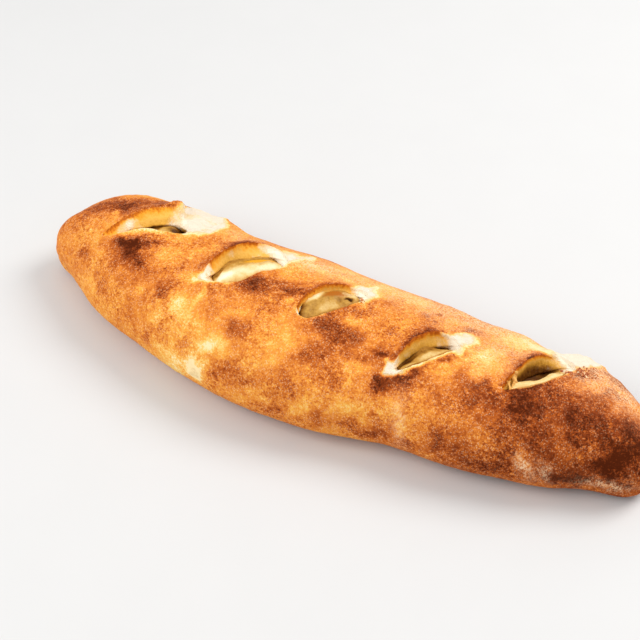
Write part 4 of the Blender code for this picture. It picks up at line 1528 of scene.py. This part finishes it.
    def slash_form(self, slash: Slash) -> Piece:
        """The body that opens one slash: rounded lips, a cut wall, a gap and shoaling ends."""
        turn = np.linspace(self.cut_start, math.pi - self.cut_start, self.cut_stations)
        fraction = (1 - np.cos(turn)) / 2
        rear, front = slash.rear_edge(fraction), slash.front_edge(fraction)
        foot, depth = slash.foot(fraction), slash.row(fraction, 3)
        floor = np.maximum(slash.row(fraction, 4), depth)
        open_gap = ease(floor - depth, 0.0, self.open_depth)
        level = 0 * foot
        if slash.sunk:
            profile = [(foot + 0.0012, level + self.headroom), (foot + 0.0008, 0.0010 - depth * 0.9)]
        else:
            lip = self.lip_height(slash, fraction, rear)
            profile = [(rear + back, lip + above) for back, above in self.rear_lip]
            for share in np.linspace(0.0, 1.0, self.wall_rows)[:-1]:
                hollow = self.wall_hollow * math.sin(math.pi * share) * open_gap
                start = rear + self.wall_start
                across = start + (foot - rear - self.wall_start) * share**1.15 + hollow
                down = (depth + lip - self.lip_radius) * share**0.8
                profile.append((across, lip - self.lip_radius - down))
        profile.append((foot, -depth))
        profile.append((foot + self.undercut[0] * open_gap, -depth - (floor - depth) * 0.25))
        profile.append((foot + self.undercut[1] * open_gap, -floor))
        for share in self.floor_shares:
            profile.append((foot + (front + self.lip_radius - foot) * share, -floor))
        least = front + self.least_gap
        profile = [(np.maximum(across, least), height) for across, height in profile]
        profile += [(front + back, -floor * share) for back, share in self.front_wall]
        profile += [(front + back, level + above) for back, above in self.front_lip]
        loops = []
        for across, height in profile:
            x, y = slash.plan_point(fraction, across)
            sway = self.lip_sway * self.wobble.at(np.stack([x, y, 0.25 * height], -1))
            loops.append(self.placed(slash, fraction, across + sway, height))
        return loft(slash.name, np.stack(loops, 1))

    def plain_coat(self, points: Array, height: Array, inside: Array) -> Coat:
        """What the finish reads, apart from what the slashes change.

        Args:
            points: The vertices of the carved crust.
            height: Their heights above the plain upper surface.
            inside: The share of each vertex's faces that were cut.

        Returns:
            The coat.
        """
        x = points[:, 0]
        # The underside browns, partly as painted contact shadow
        bake = self.plain_bake + self.underside_bake * ease(points[:, 2], 0.0075, 0.0010)
        bake += sum(amount * ease(x, low, high) for amount, low, high in self.bake_slopes)
        bake += layered(self.bake_clouds, points)
        bake += self.char_weight * self.marked(MarkKind.CHAR, points)
        bake -= self.pale_weight * self.marked(MarkKind.PALE, points)
        bake -= self.halo_weight * self.marked(MarkKind.RAW, points, ragged=3.2, crisp=0.7)
        raw = self.marked(MarkKind.RAW, points)
        raw = raw * (1 - 0.65 * (inside > 0.5) * ease(height, 0.0016, 0.0004))
        beyond = self.tear.beyond(points) * ease(self.tear.reach(points), 1.10, 0.80)
        warm = 1.05 + 0.45 * Unevenness(0.0085, 37, 2).at(points)
        floury = self.marked(MarkKind.FLOURY, points)
        return Coat(bake, np.maximum(raw, warm * beyond), floury, 0 * x, inside)

    def paint(self, crust: Piece, inside: Array) -> None:
        """Stores how baked, how bare and how deep in a cut each vertex is.

        Args:
            crust: The carved crust.
            inside: The share of each vertex's faces that were cut.
        """
        points = read_points(crust)
        height = self.roll.proud(points)
        coat = self.plain_coat(points, height, inside)
        for slash in self.slashes:
            SlashPainter(self, slash, points, height).paint(coat)
        coat.floury, coat.cut = np.clip(coat.floury, 0, 1), np.clip(coat.cut, 0, 1)
        rim = rim_of(crust, coat.inside, 2)
        for name, values in vars(coat).items():
            write_values(crust, name, even_out(crust, values, rim, 1 if name == "inside" else 3))


@dataclass(frozen=True)
class Swell:
    """Melted filling that stands in one slash.

    Its rows are: fraction along the slash; then, in millimetres, how far its shoulder is across the
    slash, its height at the front lip and at the shoulder, and its height in the valley below the
    wall, which it fills as far as the wall's foot. The tone is how much darker it is than plain
    filling, and the dome and the unevenness are heights.
    """

    rows: Rows
    tone: float
    dome: float = 0.0005
    uneven: float = 0.00035

    def row(self, fraction: Array, column: int) -> Array:
        """One column of the rows at fractions of the length, in metres."""
        return MM * read_rows(self.rows, column, fraction)


# The swells of the slashes, in the slashes' order
SWELLS = (
    Swell((
        (0.32, 4.6, -3.8, -4.2, -5), (0.45, 6.6, -3.8, -4.6, -6.4), (0.58, 8, -3.6, -4.8, -6.8),
        (0.69, 10.4, -2.9, -3.7, -5.6), (0.8, 10.6, -2.8, -3.6, -5.4), (0.86, 8.8, -4.6, -5.8, -7.2),
        (0.91, 6, -7.4, -8.6, -9.4),
    ), tone=-0.26),
    Swell((
        (0.13, -2.4, -1.8, -2.6, -4.4), (0.2, 0.2, -0.9, -2.2, -5.2), (0.3, 5, -0.4, -2.2, -4.8),
        (0.4, 8, -0.2, -2.4, -4.4), (0.5, 9.4, -0.2, -2.6, -4.2), (0.6, 9.4, -0.3, -2.6, -4),
        (0.7, 9.4, -0.4, -2.6, -3.8), (0.8, 8.8, -0.5, -2.4, -3.6), (0.88, 4.6, -1, -2.4, -3.6),
        (0.93, 0, -1.4, -2, -2.6),
    ), tone=-0.34, dome=0.001),
    Swell((
        (0.04, 2.6, -1.2, -1.4, -1.8), (0.17, 7.6, -0.6, -0.4, -0.8), (0.34, 9.4, -0.6, 0.4, 0),
        (0.48, 10, -0.6, 0.9, 0.5), (0.64, 9.2, -0.6, 0.6, 0.2), (0.76, 7.4, -0.7, -0.1, -0.8),
        (0.86, 4.2, -0.8, -0.9, -1.8), (0.9, 2, -1, -1.4, -2),
    ), tone=-0.52, dome=0.0004, uneven=0.0007),
    Swell((
        (0.14, 0.6, -1, -1.8, -3.6), (0.25, 1.6, -0.3, -1.8, -5.6), (0.34, 2.2, -0.2, -2, -6.2),
        (0.44, 4, -0.2, -2.4, -5.6), (0.54, 6, -0.2, -2.8, -4.4), (0.63, 7.4, -0.3, -3, -4.2),
        (0.72, 5.6, -0.3, -2.8, -4.8), (0.82, 3, -0.4, -2.4, -7.4), (0.92, 1.2, -0.8, -2, -5),
    ), tone=-0.44, dome=0.0002),
    Swell((
        (0.05, -1.2, -0.9, -1.6, -6), (0.12, -0.4, -0.4, -1, -8), (0.2, 0.8, -0.3, -0.9, -9.4),
        (0.29, 0.6, -0.3, -0.8, -9.4), (0.37, -0.4, -0.3, -0.8, -9.4), (0.46, -1.4, -0.3, -0.8, -9.4),
        (0.55, -0.8, -0.3, -0.8, -9.4), (0.65, 0.4, -0.3, -0.8, -9.4), (0.75, 0.9, -0.3, -0.9, -8),
        (0.85, 0.6, -0.6, -1.2, -4.6), (0.93, 0.2, -1, -1.6, -2.6),
    ), tone=-0.24, dome=0.0002, uneven=0.0005),
)


@dataclass
class Filling:
    """The filling's core with its swells in the slashes."""

    crust: Crust
    clearance: float = 0.0003
    rings: int = 110
    columns: int = 64
    stations: int = 100
    turns: int = 28
    root: float = 0.0105
    base: float = -0.0100
    end_power: int = 6
    front_gap: float = 0.0004
    least_width: float = 0.0008
    wall_sink: float = 0.0010
    least_valley: float = 0.0004
    round_share: float = 0.10
    round_depth: float = 0.0012
    lumps: Unevenness = Unevenness(0.0046, 51, 3)
    top_levels: Range = (-0.0045, -0.0025)
    # Painted shade: the filling's lightness by its height below the plain surface, in metres
    light_levels: Rows = (
        (-0.0090, 0.10), (-0.0060, 0.26), (-0.0042, 0.46), (-0.0026, 0.72), (0.0, 0.88)
    )
    # Marks in plan, in millimetres: X, Y, half length, half width, tilt, strength
    grease: Rows = (
        (-50.5, 15.6, 9.5, 2.3, 36, 1.15), (-50.2, 12.6, 3, 1.7, 75, 1), (-43.2, 20, 2.6, 1.6, 30, 1),
    )
    toast: Rows = (
        (0.4, 8.3, 6.8, 2.8, 42, 1.15), (8, 12, 3.6, 1.6, 30, 0.5),
    )
    shade: Rows = (
        (-11, -8.2, 2.6, 3, 28, 0.35), (9.1, 9.3, 2, 1, 33, 0.9), (-13, -7.2, 1.2, 1.4, 28, 0.8),
        (54.7, -14.8, 3.3, 1.7, 60, 0.45), (-104.5, 18.5, 6, 4, 20, 0.8),
        (-50, 17.6, 12, 1.8, 40, 0.25),
    )
    cream: Rows = (
        (-61, -7.4, 7, 4.2, 35, 0.42), (63, -7.4, 8, 2.6, 52, 0.17), (-53.9, 0.5, 9.8, 4.6, 43, 0.16),
        (1, -2.4, 7.5, 3, 48, 0.17), (-8.1, 1.2, 7, 2, 68, 0.42), (10, 12.5, 3, 2.6, 30, 0.3),
        (5.6, 11.6, 3, 2, 42, 0.3), (-42, 11, 8, 3.2, 45, 0.3),
    )
    # Dents: as the marks, with a depth in millimetres for the strength
    dents: Rows = (
        (9.1, 9.3, 1.9, 0.8, 33, 2.4), (-12.6, -8.2, 1.1, 1.1, 28, 2.2), (4, 5, 5.5, 1.6, 42, 0.5),
        (-50.5, 14.5, 6.5, 1.2, 40, 0.6),
    )

    def build(self) -> Piece:
        """Builds the core with its swells and stores what the finish reads."""
        inset = self.crust.wall + self.clearance
        grid = self.crust.rolled(self.rings, self.columns, inset, 1.0)
        core = loft("core", self.crust.settle(grid, inset))
        tools = [self.swell_form(swell, slash) for swell, slash in zip(SWELLS, self.crust.slashes)]
        filling = combine("filling_melted", core, "UNION", tools)
        split_large_faces(filling)
        filling.data.shade_smooth()
        self.paint(filling)
        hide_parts("filling")
        dress(filling, MeltedFilling().make())
        return filling

    def swell_form(self, swell: Swell, slash: Slash) -> Piece:
        """One swell in its slash as a closed body."""
        share = np.linspace(0, 1, self.stations)
        first, last = swell.rows[0][0], swell.rows[-1][0]
        fraction = first + (last - first) * (1 - np.cos(math.pi * share)) / 2
        end = np.sqrt(np.clip(1 - (2 * share - 1) ** self.end_power, 0.0, 1))
        front = slash.front_edge(fraction) + self.front_gap
        shoulder = np.maximum(swell.row(fraction, 1), front + self.least_width)
        foot = np.maximum(slash.foot(fraction) + self.wall_sink, shoulder + self.least_valley)
        at_front, at_shoulder, in_valley = (swell.row(fraction, column) for column in (2, 3, 4))
        profile = []
        for turn in np.linspace(0, 1, self.turns):
            blend = float(ease(np.array(turn), self.round_share, 1.0))
            height = at_front * (1 - blend) + at_shoulder * blend
            height = height + swell.dome * math.sin(math.pi * turn)
            rounded = math.sin(math.pi / 2 * min(turn / self.round_share, 1.0))
            height = height - self.round_depth * (1 - rounded)
            profile.append((front + (shoulder - front) * turn, height))
        for turn in np.linspace(0, 1, self.turns // 2)[1:]:
            fall = 1 - (1 - turn) ** 2.2
            height = at_shoulder * (1 - fall) + in_valley * fall
            profile.append((shoulder + (foot - shoulder) * turn**1.25, height))
        loops = []
        for across, height in profile:
            height = self.base + (height - self.base) * end
            shape = self.crust.placed(slash, fraction, across, height)
            lift = swell.uneven * self.lumps.at(shape) - MM * self.plan_marks(self.dents, shape)
            shape[:, 2] += lift * end
            loops.append(shape)
        for across in (foot, (foot + front) / 2, front):
            loops.append(self.crust.placed(slash, fraction, across, -self.root))
        return loft(slash.name + "_swell", np.stack(loops, 1))

    @staticmethod
    def plan_marks(rows: Rows, points: Array) -> Array:
        """How strongly marks given in plan show at points."""
        total = np.zeros(len(points))
        bent = points + 0.0005 * Unevenness(0.003, 61).around(points)
        for x, y, half_length, half_width, tilt, strength in rows:
            along, across = turned(bent[:, 0] - x * MM, bent[:, 1] - y * MM, tilt)
            reach = np.hypot(along / (half_length * MM), across / (half_width * MM))
            total += strength * hill(reach**1.3)
        return total

    def paint(self, filling: Piece) -> None:
        """Stores how light, toasted and greasy each vertex is, with painted shade deep in the slashes.
        """
        points = read_points(filling)
        height = self.crust.roll.proud(points)
        # Painted shade: the deeper the filling lies, the darker it is
        light = np.interp(height, *np.array(self.light_levels).T)
        near_top = 0.35 + 0.65 * ease(height, *self.top_levels)
        for swell, slash in zip(SWELLS, self.crust.slashes):
            fraction, across = slash.coordinates(points[:, 0], points[:, 1])
            on_it = (fraction > -0.1) & (fraction < 1.1) & (np.abs(across) < 0.03)
            light = light + np.where(on_it, swell.tone * near_top, 0.0)
        light += self.plan_marks(self.cream, points) - self.plan_marks(self.shade, points)
        write_values(filling, "light", light)
        write_values(filling, "toast", self.plan_marks(self.toast, points))
        write_values(filling, "grease", self.plan_marks(self.grease, points))


@dataclass
class TornDough:
    """Strands of stretched dough in the slash ends and crumbs beside them."""

    crust: Crust
    # Strands: slash number, start and end as fraction, across and height in mm, sag, half width
    strands: Rows = (
        (4, 0.235, 6.8, 1.0, 0.175, -1.6, -1.2, -0.5, 1.50),
        (4, 0.125, 2.6, -0.2, 0.100, -2.2, -1.2, -0.6, 0.70),
    )
    # Crumbs: X, girth, spread in mm, number
    heaps: Rows = ((138, 70, 5.0, 16), (131, 75, 2.6, 9), (17, 76, 3.0, 5))
    # Torn rims round a point: X, girth, radius in mm, number of flakes
    bursts: Rows = ((138.5, 68.5, 5.2, 15), (138.0, 69.0, 2.4, 7))
    seed: int = 77
    steps: int = 22
    sides: int = 8
    breadth: float = 1.5
    thickness: float = 0.6
    bend_depth: float = 0.0003
    bends: Unevenness = Unevenness(0.004, 71)
    crumb_sizes: Range = (0.45, 1.10)

    def build(self) -> list[Piece]:
        """Builds the strands and the crumbs."""
        strands = self.strand_form()
        dress(strands, BareDough().make())
        crumbs = self.crumb_form()
        dress(crumbs, CrumbCrust().make())
        return [strands, crumbs]

    def strand_form(self) -> Piece:
        """All strands as closed tapered rods in one mesh."""
        share = np.linspace(0, 1, self.steps)
        turn = np.linspace(0, 2 * math.pi, self.sides, endpoint=False)[None, :, None]
        rods = []
        for number, *ends, sag, half_width in self.strands:
            start, end = np.array(ends).reshape(2, 3)
            fraction, across, height = (start + (end - start) * share[:, None]).T
            height = height * MM + sag * MM * np.sin(math.pi * share)
            line = self.crust.placed(self.crust.slashes[int(number)], fraction, across * MM, height)
            line += self.bend_depth * self.bends.around(line)
            ahead = unit(np.gradient(line, axis=0))
            side = unit(np.cross(ahead, np.array([0.0, 0.0, 1.0])))
            above = np.cross(side, ahead)
            thick = half_width * MM * (0.45 + 0.75 * np.abs(2 * share - 1) ** 1.5)
            ring = self.breadth * np.cos(turn) * side[:, None]
            ring = ring + self.thickness * np.sin(turn) * above[:, None]
            rod = loft("rod", line[:, None] + thick[:, None, None] * ring)
            rods.append((read_points(rod), [list(face.vertices) for face in rod.data.polygons]))
            bpy.data.objects.remove(rod, do_unlink=True)
        return merged("dough_strands", rods)

    def crumb_form(self) -> Piece:
        """All crumbs as small closed lumps in one mesh."""
        draw = np.random.default_rng(self.seed)
        source = bmesh.new()
        bmesh.ops.create_icosphere(source, subdivisions=2, radius=1.0)
        ball = np.array([vertex.co[:] for vertex in source.verts])
        ball_faces = [[vertex.index for vertex in face.verts] for face in source.faces]
        source.free()
        lumps = []
        for x, girth, reach, number in self.heaps:
            for _ in range(int(number)):
                away = draw.normal(0, reach / 2, 2)
                size = draw.uniform(*self.crumb_sizes) * np.array([1, draw.uniform(0.6, 1.0), 0.55])
                lumps.append((x, girth, away, draw.uniform(0, 6.3), size))
        for x, girth, reach, number in self.bursts:
            for turn in np.linspace(0, 2 * math.pi, int(number), endpoint=False):
                turn = turn + draw.uniform(-0.15, 0.15)
                away = np.array([math.cos(turn), 0.75 * math.sin(turn)]) * reach
                away *= draw.uniform(0.55, 0.85)
                size = np.array([reach * draw.uniform(0.24, 0.36), draw.uniform(0.34, 0.56), 0.42])
                lumps.append((x, girth, away, turn, size))
        crumbs = []
        for x, girth, away, turn, size in lumps:
            shape = ball * size * MM
            shape *= 1 + 0.35 * Unevenness(0.0009, int(draw.integers(90))).at(shape)[:, None]
            crumbs.append((self.laid_on(shape, x, girth, away, turn), ball_faces))
        return merged("crumbs", crumbs)

    def laid_on(self, shape: Array, x: float, girth: float, away: Array, turn: float) -> Array:
        """Lays a small shape on the crust.

        Args:
            shape: Its points, flat side down.
            x: Place along the roll in millimetres.
            girth: Angle round the roll.
            away: How far from there it lies, along the roll and round it, in millimetres.
            turn: How far it is turned, in radians.

        Returns:
            Its points on the crust.
        """
        roll = self.crust.roll
        middle, along, round_it = roll.tangents(x, girth)
        upright = np.cross(along, round_it)
        upright = unit(upright * np.sign(upright[2]))
        side = np.cross(upright, along)
        flat = middle + MM * (away[0] * along + away[1] * side)
        flat[2] = roll.top_height(flat[0], flat[1])
        centre = flat + upright * self.crust.relief(flat[None])[0]
        cosine, sine = math.cos(turn), math.sin(turn)
        ahead = cosine * along + sine * side
        across = cosine * side - sine * along
        return centre + shape @ np.stack([ahead, across, upright])


@dataclass(frozen=True)
class Lamp:
    """A soft round light that points at the middle of the floor."""

    name: str
    place: Triple
    width: float
    power: float
    colour: Colour

    def hang(self) -> None:
        """Puts the light in the scene."""
        light = bpy.data.lights.new(self.name, "AREA")
        light.shape = "DISK"
        light.size = self.width
        light.energy = self.power
        light.color = self.colour
        lamp = place_in_scene(self.name, light)
        lamp.location = self.place
        lamp.rotation_euler = (-Vector(self.place)).to_track_quat("-Z", "Y").to_euler()


@dataclass
class Studio:
    """Pale floor, soft light and the camera at the photo's angle."""

    floor_size: float = 6.0
    floor_drop: float = 0.0002
    camera_place: Triple = (0.2180, -0.4259, 0.4918)
    camera_forward: Triple = (-0.3352, 0.6438, -0.6879)
    camera_up: Triple = (-0.3221, 0.6078, 0.7258)
    lens: float = 68.27
    sensor: float = 36.0
    sky: Colour = (1.0, 1.0, 1.0)
    sky_strength: float = 0.66
    lamps: Sequence[Lamp] = (
        Lamp("window", (0.75, 0.85, 1.25), 0.9, 17.0, (1.0, 0.985, 0.96)),
        Lamp("fill", (-0.9, -0.9, 1.1), 1.2, 14.0, (1.0, 0.99, 0.97)),
    )

    def build(self) -> None:
        """Builds the whole studio."""
        self.lay_floor()
        self.light_sky()
        for lamp in self.lamps:
            lamp.hang()
        self.set_camera()

    def lay_floor(self) -> None:
        """A plain floor just under the roll."""
        half = self.floor_size / 2
        corners = np.array([(-half, -half, 0), (half, -half, 0), (half, half, 0), (-half, half, 0)])
        floor = new_piece("floor", corners - (0, 0, self.floor_drop), [[0, 1, 2, 3]])
        floor.data.materials.append(PaleFloor().make())

    def light_sky(self) -> None:
        """An even sky."""
        world = bpy.data.worlds.new("studio_sky")
        world.use_nodes = True
        background = world.node_tree.nodes["Background"]
        background.inputs["Color"].default_value = (*self.sky, 1.0)
        background.inputs["Strength"].default_value = self.sky_strength
        bpy.context.scene.world = world

    def set_camera(self) -> None:
        """The camera at the photo's angle."""
        data = bpy.data.cameras.new("camera")
        data.lens = self.lens
        data.sensor_width = self.sensor
        data.clip_start = 0.01
        data.clip_end = 20.0
        camera = place_in_scene("camera", data)
        back = -Vector(self.camera_forward).normalized()
        up = Vector(self.camera_up).normalized()
        right = up.cross(back).normalized()
        turn = Matrix((right, up, back)).transposed().to_4x4()
        camera.matrix_world = Matrix.Translation(self.camera_place) @ turn
        bpy.context.scene.camera = camera
        bpy.context.scene.view_settings.view_transform = "Standard"


def main() -> None:
    """Builds the dressed model and its studio."""
    logging.basicConfig(level=logging.INFO, format="%(name)s: %(message)s")
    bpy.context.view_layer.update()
    crust = Crust(Roll(), Tear(), SLASHES)
    crust.build()
    Filling(crust).build()
    TornDough(crust).build()
    Studio().build()
    bpy.context.view_layer.update()


if __name__ == "__main__":
    main()
